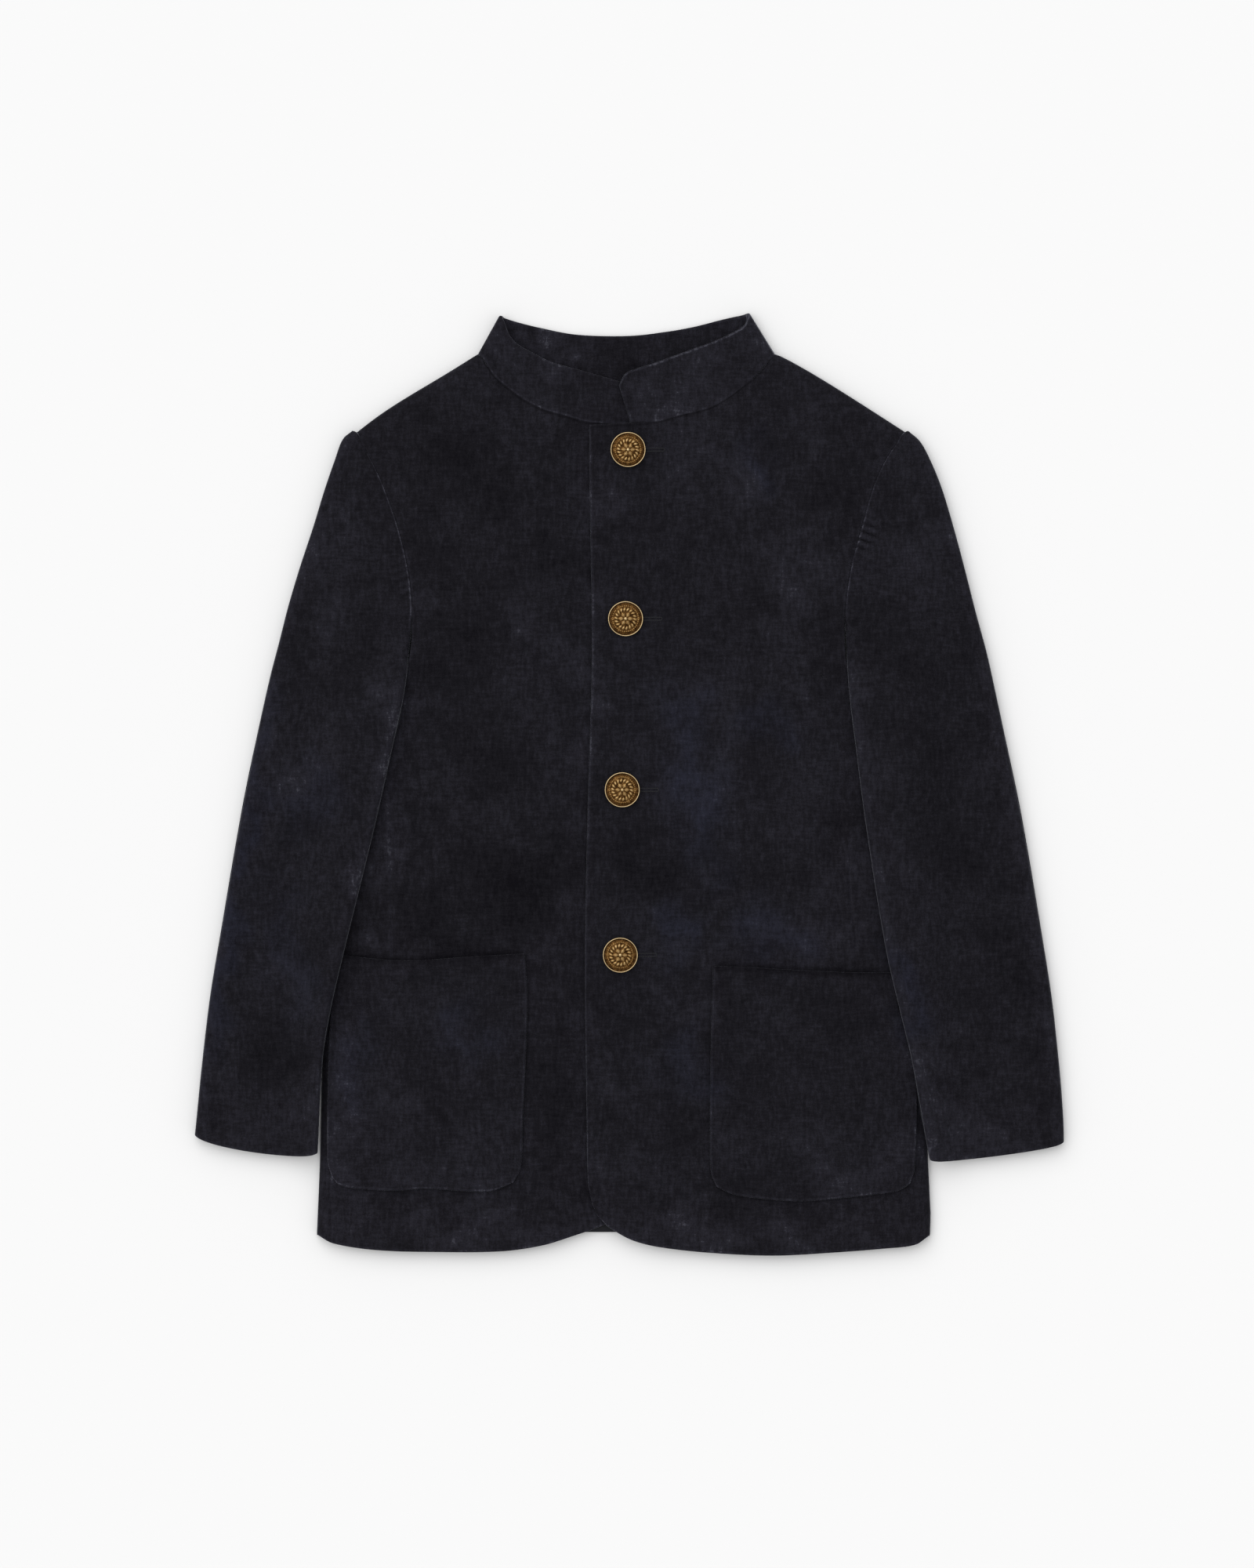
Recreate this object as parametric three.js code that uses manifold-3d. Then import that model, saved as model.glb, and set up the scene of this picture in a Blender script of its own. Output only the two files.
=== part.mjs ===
// A child's velvet blazer with a standing collar, buttoned and laid flat on its back.
// +X points to the right of the view, +Y toward the collar and +Z up from the table. Sizes in mm.
// Right and left are the wearer's, so the right half lies at negative X.
import * as THREE from "three";
import { mergeVertices } from "three/addons/utils/BufferGeometryUtils.js";
import Module from "manifold-3d";

const WALL = 2.5; // velvet and lining together
const GAP = 0.3; // between two pieces that touch at a seam
const SEAM = 0.25; // each body panel stops this far short of the seam line
const ARMHOLE_GAP = 0.5; // a sleeve starts this far outside the armhole
const TABLE_LEVEL = WALL / 2; // middle of a layer that lies on the table
const FRONT_LEVEL = 7; // middle of a layer that lies over another
const LAP_UNDER_LEVEL = 5.3; // the right front where the left one laps over it
const LAP_OVER_LEVEL = 8.15; // the left front where it laps over
const SEAT_LEVEL = 3; // edge of a front where it meets the back
const CURL = 7; // width of the roll at the side and the shoulder
const FOLD_RADIUS = (FRONT_LEVEL - TABLE_LEVEL) / 2; // round edge of a flattened sleeve
const FOLD_SHARE = 0.5; // each half of a sleeve stops this far from the middle of its round edge
const BODY_LIFT = 9.2; // a sleeve lies this much higher where the body is under it
const POCKET_WALL = 1.8;
const POCKET_LIFT = 2.7; // and this much more over a pocket
const RAMP_OUT = 24; // a sleeve comes down to the table this far outside the side seam
const RAMP_IN = 8;
const CUFF_BOW = 8.2; // the cuff hangs this far below the line between its corners
const CUFF_BOW_SHAPE = 0.35; // the smaller, the squarer
const CUFF_REACH = 60; // the bow fades out this far above the cuff
const POCKET_RISE = [-50, -88]; // y between which a sleeve rises over the pocket
const UPPER_RISE = [84, 50]; // y between which the upper layer rises over the body
const LOWER_RISE = [52, 38]; // and the lower layer, just outside the side seam
const HEAD_REACH = 8; // the sleeve head evens out this far from the armhole
const RIPPLE = 0.4; // height of the shallow waves
const FRONT_ROWS = 19;
const FRONT_COLUMNS = 12;
const FRONT_LENGTH = 470;
const FRONT_WIDTH = 185;
const BACK_ROWS = 22;
const BACK_COLUMNS = 14;
const SLEEVE_ROWS = 20;
const SLEEVE_COLUMNS = 7; // between the round edges
const POCKET_ROWS = 8;
const POCKET_COLUMNS = 11;
const BUTTON_RADIUS = 10;
const BUTTON_SIDES = 24;
const SHANK_RADIUS = 1.5;
const HOLE_RADIUS = 2; // the round end of a buttonhole, about the shank
const HOLE_SIDES = 16;
const HOLE_LENGTH = 20.5;
const HOLE_WIDTH = 0.8;
const VELVET = 0x1d1d26;
const BRASS = 0x6b5532;

// x, y at each button, from the collar down
const BUTTONS = [
  [-0.7, 189.9],
  [-2.1, 94.2],
  [-4.0, -2.6],
  [-5.1, -96.1],
];

// Each half: inward is the sign of X toward the centre. Tables run x, y.
const RIGHT = {
  inward: 1,
  level: (x) => FRONT_LEVEL + (LAP_UNDER_LEVEL - FRONT_LEVEL) * step(-45, -25, x),
  side: [
    [-177.2, -255.1],
    [-176.7, -243.5],
    [-175.4, -211.6],
    [-173.6, -132.5],
    [-170.1, -43.7],
    [-166.5, 22.9],
    [-164.6, 46.0],
  ],
  armhole: [
    [-150.0, 51.5],
    [-137.0, 57.5],
    [-127.4, 65.0],
    [-124.0, 76.0],
    [-123.0, 96.1],
    [-124.8, 118.3],
    [-129.6, 141.0],
    [-135.9, 160.5],
    [-142.5, 176.5],
    [-147.9, 186.7],
  ],
  backArmhole: [
    [-155.8, 52.0],
    [-147.9, 63.0],
    [-143.9, 80.6],
    [-143.0, 102.8],
    [-145.2, 133.9],
    [-148.7, 160.5],
    [-152.3, 182.7],
  ],
  shoulder: [
    [-85.2, 244.9],
    [-155.0, 199.6],
  ],
  neck: [
    [11.1, 204.5],
    [-1.3, 204.9],
    [-22.6, 206.2],
    [-36.0, 209.8],
    [-47.1, 212.9],
    [-58.6, 218.2],
    [-67.5, 224.4],
    [-76.4, 232.0],
    [-82.1, 240.0],
  ],
  edge: [
    [4.0, -234.7],
    [8.9, -223.6],
    [11.1, -208.0],
    [11.1, 0.0],
    [11.1, 204.5],
  ],
  hem: [
    [4.0, -234.7],
    [-3.6, -242.6],
    [-13.8, -248.9],
    [-33.7, -256.0],
    [-50.2, -260.9],
    [-72.4, -264.0],
    [-107.9, -264.4],
    [-143.4, -263.3],
    [-167.8, -259.5],
  ],
  outer: [
    [-157.2, 200.7],
    [-162.5, 196.0],
    [-166.9, 184.5],
    [-172.7, 167.6],
    [-178.9, 147.2],
    [-186.5, 124.1],
    [-193.1, 101.9],
    [-198.5, 80.6],
    [-203.4, 61.9],
    [-209.6, 34.0],
    [-219.3, -14.0],
    [-231.3, -82.8],
    [-236.9, -115.7],
    [-240.4, -142.3],
    [-246.4, -196.5],
  ],
  // inner x, inner y, outer y, fold: 0 joins the armhole, 1 is a round edge over the body
  top: [
    [-154.0, 195.0, 200.7, 0],
    [-149.0, 187.2, 196.0, 0],
    [-142.5, 176.5, 184.5, 0],
    [-135.9, 160.5, 167.6, 0],
    [-129.6, 141.0, 147.2, 0],
    [-124.8, 118.3, 124.1, 0],
    [-123.0, 96.1, 101.9, 0.1],
    [-124.9, 75.0, 81.0, 0.6],
    [-127.0, 53.9, 61.9, 1],
    [-133.2, 25.1, 34.0, 1],
    [-144.3, -24.2, -14.0, 1],
    [-161.2, -93.5, -82.8, 1],
    [-168.7, -125.9, -115.7, 1],
    [-173.2, -152.5, -142.3, 1],
    [-176.3, -206.2, -196.5, 1],
  ],
  // inner x, inner y, outer y, fold, level of the edge where it isn't folded
  under: [
    [-155.3, 196.6, 198.8, 0, 1.4],
    [-152.8, 183.0, 187.0, 0, 1.25],
    [-149.2, 160.5, 160.0, 0, 1.25],
    [-145.7, 134.0, 133.0, 0, 1.25],
    [-143.5, 103.0, 90.0, 0, 1.25],
    [-144.4, 80.6, 69.0, 0, 1.25],
    [-149.0, 63.6, 50.0, 0, 1.25],
    [-157.0, 52.6, 34.0, 0, 1.25],
    [-167.8, 44.8, 22.0, 0, 4.4],
    [-164.6, 45.2, 18.0, 0, 8.6],
    [-160.6, 46.2, 13.0, 0, 9.9],
    [-154.0, 49.0, 7.0, 0, 9.9],
    [-146.0, 52.5, 1.0, 0, 9.9],
    [-137.0, 56.5, -6.0, 0, 9.9],
    [-129.4, 59.0, -14.0, 0.3, 9.9],
    [-129.0, 42.0, -26.5, 1, 9.9],
    [-134.5, 20.0, -46.0, 1, 9.9],
    [-144.3, -24.2, -75.0, 1, 9.9],
    [-153.0, -60.0, -98.0, 1, 9.9],
    [-161.2, -93.5, -124.0, 1, 9.9],
    [-168.7, -125.9, -148.0, 1, 9.9],
    [-173.2, -152.5, -166.0, 1, 9.9],
    [-175.3, -180.0, -183.0, 1, 9.9],
    [-176.3, -206.2, -196.5, 1, 9.9],
  ],
  // x, y along each side of the pocket; the lower corners are met in the middle of their rounding
  pocketTop: [
    [-166.8, -95.7],
    [-128.8, -99.2],
    [-90.1, -97.0],
    [-59.1, -95.2],
  ],
  pocketInner: [
    [-65.7, -224.9],
    [-61.3, -215.6],
    [-60.4, -190.7],
    [-58.6, -154.7],
    [-57.7, -121.4],
    [-59.1, -95.2],
  ],
  pocketOuter: [
    [-168.2, -222.0],
    [-170.3, -212.0],
    [-169.4, -154.7],
    [-166.8, -95.7],
  ],
  pocketBottom: [
    [-168.2, -222.0],
    [-164.0, -226.3],
    [-153.2, -228.4],
    [-132.3, -229.5],
    [-115.9, -228.4],
    [-79.5, -229.8],
    [-65.7, -224.9],
  ],
};

const LEFT = {
  inward: -1,
  level: (x) => FRONT_LEVEL + (LAP_OVER_LEVEL - FRONT_LEVEL) * step(34, 15, x),
  side: [
    [170.5, -255.5],
    [170.9, -243.5],
    [169.2, -208.0],
    [167.4, -132.5],
    [163.8, -43.7],
    [160.7, 22.9],
    [159.6, 46.0],
  ],
  armhole: [
    [146.0, 51.5],
    [134.0, 57.5],
    [125.0, 65.0],
    [122.4, 76.0],
    [122.3, 98.3],
    [125.7, 124.1],
    [131.4, 145.0],
    [137.2, 165.8],
    [143.4, 180.9],
    [149.2, 190.3],
  ],
  backArmhole: [
    [150.5, 52.0],
    [143.4, 63.0],
    [140.7, 80.6],
    [140.3, 102.8],
    [143.0, 133.9],
    [147.0, 160.5],
    [152.3, 182.7],
  ],
  shoulder: [
    [81.3, 244.9],
    [156.7, 200.0],
  ],
  neck: [
    [-22.6, 204.0],
    [-1.3, 205.3],
    [15.5, 206.7],
    [30.6, 210.7],
    [44.4, 214.2],
    [55.1, 219.6],
    [64.8, 226.7],
    [71.5, 231.5],
    [76.8, 237.3],
  ],
  edge: [
    [-17.3, -243.5],
    [-21.8, -233.3],
    [-23.5, -221.3],
    [-24.0, -194.7],
    [-25.1, -97.0],
    [-23.5, -12.7],
    [-21.2, 75.0],
    [-22.6, 178.3],
    [-22.6, 204.0],
  ],
  hem: [
    [-17.3, -243.5],
    [-13.3, -248.9],
    [-7.5, -252.9],
    [1.8, -257.7],
    [15.5, -261.3],
    [42.6, -264.6],
    [80.8, -266.4],
    [114.1, -264.8],
    [145.2, -262.4],
    [162.0, -260.3],
  ],
  outer: [
    [159.0, 200.0],
    [165.2, 194.2],
    [170.9, 183.6],
    [177.2, 168.1],
    [183.8, 146.3],
    [190.0, 123.2],
    [196.7, 96.6],
    [202.5, 75.3],
    [206.9, 55.7],
    [212.7, 28.2],
    [222.4, -19.3],
    [234.0, -86.4],
    [239.3, -119.7],
    [242.4, -146.3],
    [246.0, -184.0],
    [246.4, -197.4],
  ],
  top: [
    [156.1, 196.4, 200.0, 0],
    [150.4, 190.9, 194.2, 0],
    [144.3, 181.2, 183.6, 0],
    [137.2, 165.8, 168.1, 0],
    [131.4, 145.0, 146.3, 0],
    [125.7, 124.1, 123.2, 0],
    [122.3, 98.3, 96.6, 0.1],
    [123.2, 75.3, 75.3, 0.6],
    [124.3, 53.9, 55.7, 1],
    [127.7, 25.1, 28.2, 1],
    [134.1, -24.2, -19.3, 1],
    [145.2, -93.5, -86.4, 1],
    [153.2, -128.1, -119.7, 1],
    [159.8, -155.6, -146.3, 1],
    [170.1, -207.1, -197.4, 1],
  ],
  under: [
    [156.4, 196.4, 198.4, 0, 1.4],
    [152.8, 183.0, 187.0, 0, 1.25],
    [147.5, 160.5, 160.0, 0, 1.25],
    [143.5, 134.0, 133.0, 0, 1.25],
    [140.8, 103.0, 90.0, 0, 1.25],
    [141.2, 80.6, 69.0, 0, 1.25],
    [144.6, 63.6, 50.0, 0, 1.25],
    [151.8, 52.6, 34.0, 0, 1.25],
    [162.8, 44.8, 22.0, 0, 4.4],
    [159.6, 45.2, 18.0, 0, 8.6],
    [155.6, 46.2, 13.0, 0, 9.9],
    [149.5, 49.0, 7.0, 0, 9.9],
    [142.0, 52.5, 1.0, 0, 9.9],
    [133.0, 56.5, -6.0, 0, 9.9],
    [126.4, 59.0, -14.0, 0.3, 9.9],
    [125.6, 42.0, -26.5, 1, 9.9],
    [128.4, 20.0, -46.0, 1, 9.9],
    [134.1, -24.2, -75.0, 1, 9.9],
    [139.8, -60.0, -98.0, 1, 9.9],
    [145.2, -93.5, -124.0, 1, 9.9],
    [153.2, -128.1, -148.0, 1, 9.9],
    [159.8, -155.6, -166.0, 1, 9.9],
    [164.5, -182.0, -183.0, 1, 9.9],
    [170.1, -207.1, -197.4, 1, 9.9],
  ],
  pocketTop: [
    [160.9, -105.9],
    [126.5, -105.9],
    [98.6, -104.8],
    [69.7, -103.2],
    [47.5, -102.3],
  ],
  pocketInner: [
    [49.4, -227.2],
    [46.2, -218.7],
    [45.7, -190.7],
    [46.2, -149.0],
    [47.5, -102.3],
  ],
  pocketOuter: [
    [159.0, -225.6],
    [161.4, -217.0],
    [162.4, -170.0],
    [160.9, -105.9],
  ],
  pocketBottom: [
    [159.0, -225.6],
    [152.0, -229.6],
    [140.3, -231.5],
    [119.4, -233.8],
    [98.6, -235.5],
    [78.1, -234.4],
    [58.6, -231.5],
    [49.4, -227.2],
  ],
};

// x, y along the back's neck seam, and along its hem
const NECK_BACK = [
  [-84.6, 244.6],
  [-72.4, 237.8],
  [-54.6, 232.4],
  [-28.0, 228.9],
  [-1.3, 228.0],
  [25.3, 228.9],
  [49.7, 232.4],
  [68.4, 237.8],
  [80.8, 244.6],
];
const HEM_BACK = [
  [-90.1, -253.7],
  [-8.0, -252.2],
  [87.5, -253.7],
];

// The collar band from the end that lies under, round the back, to the end that laps over:
// seam x, seam y, seam height, upper edge x, y, height; heights run 0 on the table to 1 at the front.
const COLLAR = [
  [11.1, 205.0, 1, 11.1, 223.1, 1],
  [-1.3, 205.4, 1, -5.8, 228.0, 1],
  [-22.6, 206.7, 1, -23.1, 232.9, 1],
  [-36.0, 210.3, 1, -34.6, 236.0, 1],
  [-47.0, 213.4, 1, -44.4, 238.9, 1],
  [-58.4, 218.8, 1, -53.7, 243.5, 1],
  [-67.2, 225.0, 1, -62.6, 248.4, 1],
  [-75.9, 232.5, 1, -68.2, 254.2, 1],
  [-80.3, 239.6, 1, -71.1, 261.5, 1],
  [-82.6, 244.8, 0.85, -72.7, 264.0, 0.85],
  [-83.5, 246.6, 0.5, -73.2, 264.6, 0.5],
  [-82.6, 246.2, 0.15, -72.5, 264.6, 0.15],
  [-79.7, 243.3, 0, -70.6, 263.9, 0],
  [-72.2, 238.6, 0, -63.5, 261.7, 0],
  [-54.5, 233.1, 0, -51.1, 258.6, 0],
  [-28.0, 229.5, 0, -29.3, 254.6, 0],
  [-1.3, 228.6, 0, -1.3, 253.9, 0],
  [25.3, 229.5, 0, 19.5, 256.0, 0],
  [49.6, 233.1, 0, 37.3, 259.1, 0],
  [68.2, 238.6, 0, 54.6, 263.5, 0],
  [76.3, 243.0, 0, 64.3, 265.6, 0],
  [79.0, 245.7, 0.15, 67.0, 266.0, 0.15],
  [79.9, 246.2, 0.5, 67.9, 265.6, 0.5],
  [79.1, 244.0, 0.85, 67.4, 264.4, 0.85],
  [76.3, 238.9, 1, 65.4, 259.6, 1],
  [70.7, 232.6, 1, 57.7, 254.9, 1],
  [64.5, 227.4, 1, 47.5, 250.2, 1],
  [54.8, 220.3, 1, 37.3, 246.4, 1],
  [44.2, 214.8, 1, 25.3, 242.0, 1],
  [30.5, 211.3, 1, 12.9, 237.5, 1],
  [15.5, 207.3, 1, 3.6, 234.7, 1],
  [6.0, 206.6, 1, -2.3, 231.9, 1],
  [0.3, 206.4, 1, -5.6, 225.6, 1],
];
const COLLAR_ROWS = 46;
const COLLAR_ACROSS = 4;
const COLLAR_MIDDLE = 16; // the row of the table at the middle of the back

function clamp(t) {
  return Math.min(1, Math.max(0, t));
}

// 0 at a, 1 at b, with level ends
function step(a, b, x) {
  const t = clamp((x - a) / (b - a));
  return t * t * (3 - 2 * t);
}

function mix(a, b, t) {
  return a + (b - a) * t;
}

// Quarter circle: 0 at the edge, 1 from one radius inward
function round(t) {
  return Math.sqrt(1 - (1 - clamp(t)) ** 2);
}

// Rows sampled finely along a smooth curve through the rows of a table. Between two rows it is a
// cubic whose slope at each row is the mean slope to its neighbours.
function smooth(rows, samples = 12) {
  const last = rows.length - 1;
  const knots = [0];
  for (let i = 1; i <= last; i++)
    knots.push(
      knots[i - 1] + Math.hypot(rows[i][0] - rows[i - 1][0], rows[i][1] - rows[i - 1][1]) + 1e-6,
    );
  const slope = (i) => {
    const a = Math.max(0, i - 1);
    const b = Math.min(last, i + 1);
    return rows[i].map((_, k) => (rows[b][k] - rows[a][k]) / (knots[b] - knots[a]));
  };
  const out = [rows[0]];
  for (let i = 0; i < last; i++) {
    const length = knots[i + 1] - knots[i];
    const from = slope(i);
    const to = slope(i + 1);
    for (let j = 1; j <= samples; j++) {
      const t = j / samples;
      const h = [
        (1 + 2 * t) * (1 - t) ** 2,
        t * (1 - t) ** 2,
        t * t * (3 - 2 * t),
        t * t * (t - 1),
      ];
      out.push(
        rows[i].map(
          (value, k) =>
            h[0] * value + h[1] * length * from[k] + h[2] * rows[i + 1][k] + h[3] * length * to[k],
        ),
      );
    }
  }
  return out;
}

// A function of 0 to 1 that walks a list of rows at an even pace, measured in plan
function walk(rows) {
  const reach = [0];
  for (let i = 1; i < rows.length; i++)
    reach.push(reach[i - 1] + Math.hypot(rows[i][0] - rows[i - 1][0], rows[i][1] - rows[i - 1][1]));
  const whole = reach[reach.length - 1];
  return (s) => {
    const target = clamp(s) * whole;
    let i = 1;
    while (i < rows.length - 1 && reach[i] < target) i++;
    const t = clamp((target - reach[i - 1]) / (reach[i] - reach[i - 1]));
    return rows[i - 1].map((value, k) => mix(value, rows[i][k], t));
  };
}

// x on a table of x, y at a height y, for a table that runs one way in y
function xAt(rows, y) {
  const up = rows[0][1] < rows[rows.length - 1][1] ? rows : [...rows].reverse();
  if (y <= up[0][1]) return up[0][0];
  for (let i = 1; i < up.length; i++)
    if (y <= up[i][1])
      return mix(up[i - 1][0], up[i][0], (y - up[i - 1][1]) / (up[i][1] - up[i - 1][1]));
  return up[up.length - 1][0];
}

// A four-sided patch from its bottom, top, start and end sides
function patch(bottom, top, start, end, u, v) {
  const [b0, b1, t0, t1] = [bottom(0), bottom(1), top(0), top(1)];
  const [b, t, s, e] = [bottom(u), top(u), start(v), end(v)];
  return [0, 1].map(
    (k) =>
      (1 - v) * b[k] +
      v * t[k] +
      (1 - u) * s[k] +
      u * e[k] -
      (1 - u) * (1 - v) * b0[k] -
      u * (1 - v) * b1[k] -
      (1 - u) * v * t0[k] -
      u * v * t1[k],
  );
}

// Turns a closed index list round if it faces inward
function facingOut(points, index) {
  let volume = 0;
  for (let i = 0; i < index.length; i += 3) {
    const [a, b, c] = [points[index[i]], points[index[i + 1]], points[index[i + 2]]];
    volume += a.dot(new THREE.Vector3().crossVectors(b, c));
  }
  if (volume < 0)
    for (let i = 0; i < index.length; i += 3) [index[i + 1], index[i + 2]] = [index[i + 2], index[i + 1]];
  return new THREE.BufferGeometry()
    .setAttribute(
      "position",
      new THREE.BufferAttribute(new Float32Array(points.flatMap((p) => [p.x, p.y, p.z])), 3),
    )
    .setIndex(index);
}

// The direction across the sheet at a point of its grid
function normalAt(grid, i, j) {
  const pick = (a, b) =>
    grid[Math.min(grid.length - 1, Math.max(0, a))][Math.min(grid[0].length - 1, Math.max(0, b))];
  const along = pick(i + 1, j).clone().sub(pick(i - 1, j));
  const across = pick(i, j + 1).clone().sub(pick(i, j - 1));
  return along.cross(across).normalize();
}

// A closed solid of even thickness about a grid of points
function sheet(grid, wall) {
  const [rows, columns] = [grid.length, grid[0].length];
  const points = [];
  for (const side of [1, -1])
    for (let i = 0; i < rows; i++)
      for (let j = 0; j < columns; j++)
        points.push(grid[i][j].clone().addScaledVector(normalAt(grid, i, j), (side * wall) / 2));
  const below = rows * columns;
  const index = [];
  for (let i = 0; i < rows - 1; i++)
    for (let j = 0; j < columns - 1; j++) {
      const a = i * columns + j;
      const [b, c, d] = [a + 1, a + columns + 1, a + columns];
      index.push(a, b, c, a, c, d);
      index.push(below + a, below + c, below + b, below + a, below + d, below + c);
    }
  const rim = [];
  for (let j = 0; j < columns; j++) rim.push(j);
  for (let i = 1; i < rows; i++) rim.push(i * columns + columns - 1);
  for (let j = columns - 2; j >= 0; j--) rim.push((rows - 1) * columns + j);
  for (let i = rows - 2; i > 0; i--) rim.push(i * columns);
  rim.forEach((a, k) => {
    const b = rim[(k + 1) % rim.length];
    index.push(b, a, below + a, b, below + a, below + b);
  });
  return facingOut(points, index);
}

// Distance of a point inside the shoulder line, square to it
function insideShoulder(x, y, half) {
  const [[x0, y0], [x1, y1]] = half.shoulder;
  const length = Math.hypot(x1 - x0, y1 - y0);
  return -(Math.abs(x1 - x0) * (y - y0) - Math.sign(x1 - x0) * (y1 - y0) * (x - x0)) / length;
}

function outsideSide(x, y, half) {
  return (xAt(half.side, y) - x) * half.inward;
}

// Shallow waves in the fronts, dying out at the lap and toward the sleeves
function ripple(x, y) {
  const reach = step(36, 60, Math.abs(x + 6)) * step(124, 104, Math.abs(x));
  return RIPPLE * reach * Math.sin(y / 31 + x / 23) * Math.cos(x / 41 - y / 67);
}

// Middle of a front's wall above the table
function frontHeight(x, y, half) {
  const fromSide = -outsideSide(x, y, half) - WALL / 2;
  const fromShoulder = insideShoulder(x, y, half) - WALL / 2;
  const level = half.level(x) + ripple(x, y);
  return SEAT_LEVEL + (level - SEAT_LEVEL) * round(fromSide / CURL) * round(fromShoulder / CURL);
}

// A table moved inward by half a wall, so that the wall's outside lies on the table's line
function movedSide(half) {
  return half.side.map(([x, y]) => [x + (half.inward * WALL) / 2, y]);
}

function movedShoulder(half) {
  const [[x0, y0], [x1, y1]] = half.shoulder;
  const length = Math.hypot(x1 - x0, y1 - y0);
  const square = [(Math.sign(x1 - x0) * (y1 - y0)) / length, -Math.abs(x1 - x0) / length];
  return half.shoulder.map(([x, y]) => [x + (square[0] * WALL) / 2, y + (square[1] * WALL) / 2]);
}

const CURL_STEPS = [0, 15, 35, 60, 90].map((a) => CURL * (1 - Math.cos((a * Math.PI) / 180)));

// Even steps from 0, then close ones where the panel rolls down at the far end
function ranks(count, length) {
  const start = 1 - CURL / length;
  const even = Array.from({ length: count }, (_, i) => (start * i) / count);
  return [...even, ...CURL_STEPS.map((d) => 1 - d / length).reverse()];
}

function frontGrid(half) {
  const side = movedSide(half);
  const shoulder = movedShoulder(half);
  const armhole = half.armhole.map(([x, y]) => [x + half.inward * SEAM, y]);
  const bottom = walk(smooth([...half.hem, side[0]]));
  const top = walk([...smooth([...half.neck, shoulder[0]]), ...smooth(shoulder).slice(1)]);
  const start = walk(smooth(half.edge));
  const end = walk([
    ...smooth(side),
    ...smooth([side[side.length - 1], ...armhole, shoulder[1]]).slice(1),
  ]);
  return ranks(FRONT_ROWS, FRONT_LENGTH).map((v) =>
    ranks(FRONT_COLUMNS, FRONT_WIDTH).map((u) => {
      const [x, y] = patch(bottom, top, start, end, u, v);
      return new THREE.Vector3(x, y, frontHeight(x, y, half));
    }),
  );
}

function backGrid() {
  const up = (half) => [
    ...smooth(half.side),
    ...smooth([
      half.side[half.side.length - 1],
      ...half.backArmhole.map(([x, y]) => [x + half.inward * SEAM, y]),
      half.shoulder[1],
    ]).slice(1),
  ];
  const hem = smooth([RIGHT.side[0], ...HEM_BACK, LEFT.side[0]]);
  const top = [
    RIGHT.shoulder[1],
    ...smooth(NECK_BACK),
    LEFT.shoulder[1],
  ];
  const sides = [walk(hem), walk(top), walk(up(RIGHT)), walk(up(LEFT))];
  return Array.from({ length: BACK_ROWS + 1 }, (_, i) =>
    Array.from({ length: BACK_COLUMNS + 1 }, (_, j) => {
      const [x, y] = patch(...sides, j / BACK_COLUMNS, i / BACK_ROWS);
      return new THREE.Vector3(x, y, TABLE_LEVEL);
    }),
  );
}

// How far the body holds a sleeve off the table at a point
function bodyLift(x, y, half) {
  const lift = BODY_LIFT + POCKET_LIFT * step(...POCKET_RISE, y);
  return lift * step(RAMP_OUT, -RAMP_IN, outsideSide(x, y, half));
}

// Middle of a sleeve's lower layer; over tells a row that starts on the front from one on the back
function lowerHeight(x, y, half, over) {
  const outside = step(-1, 3, outsideSide(x, y, half));
  return TABLE_LEVEL + bodyLift(x, y, half) * mix(over, step(...LOWER_RISE, y), outside);
}

function upperHeight(x, y, half) {
  return FRONT_LEVEL + bodyLift(x, y, half) * step(...UPPER_RISE, y);
}

// Shallow folds in the upper layer of a sleeve, away from its edges
function sleeveRipple(x, y, half, w) {
  return RIPPLE * Math.sin(y / 19 + half.inward * (x / 27)) * step(160, 120, y) * (4 * w * (1 - w)) ** 2;
}

const FOLD_STEPS = [0, 30, 60, 90].map((a) => 1 - Math.cos((a * Math.PI) / 180));

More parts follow.
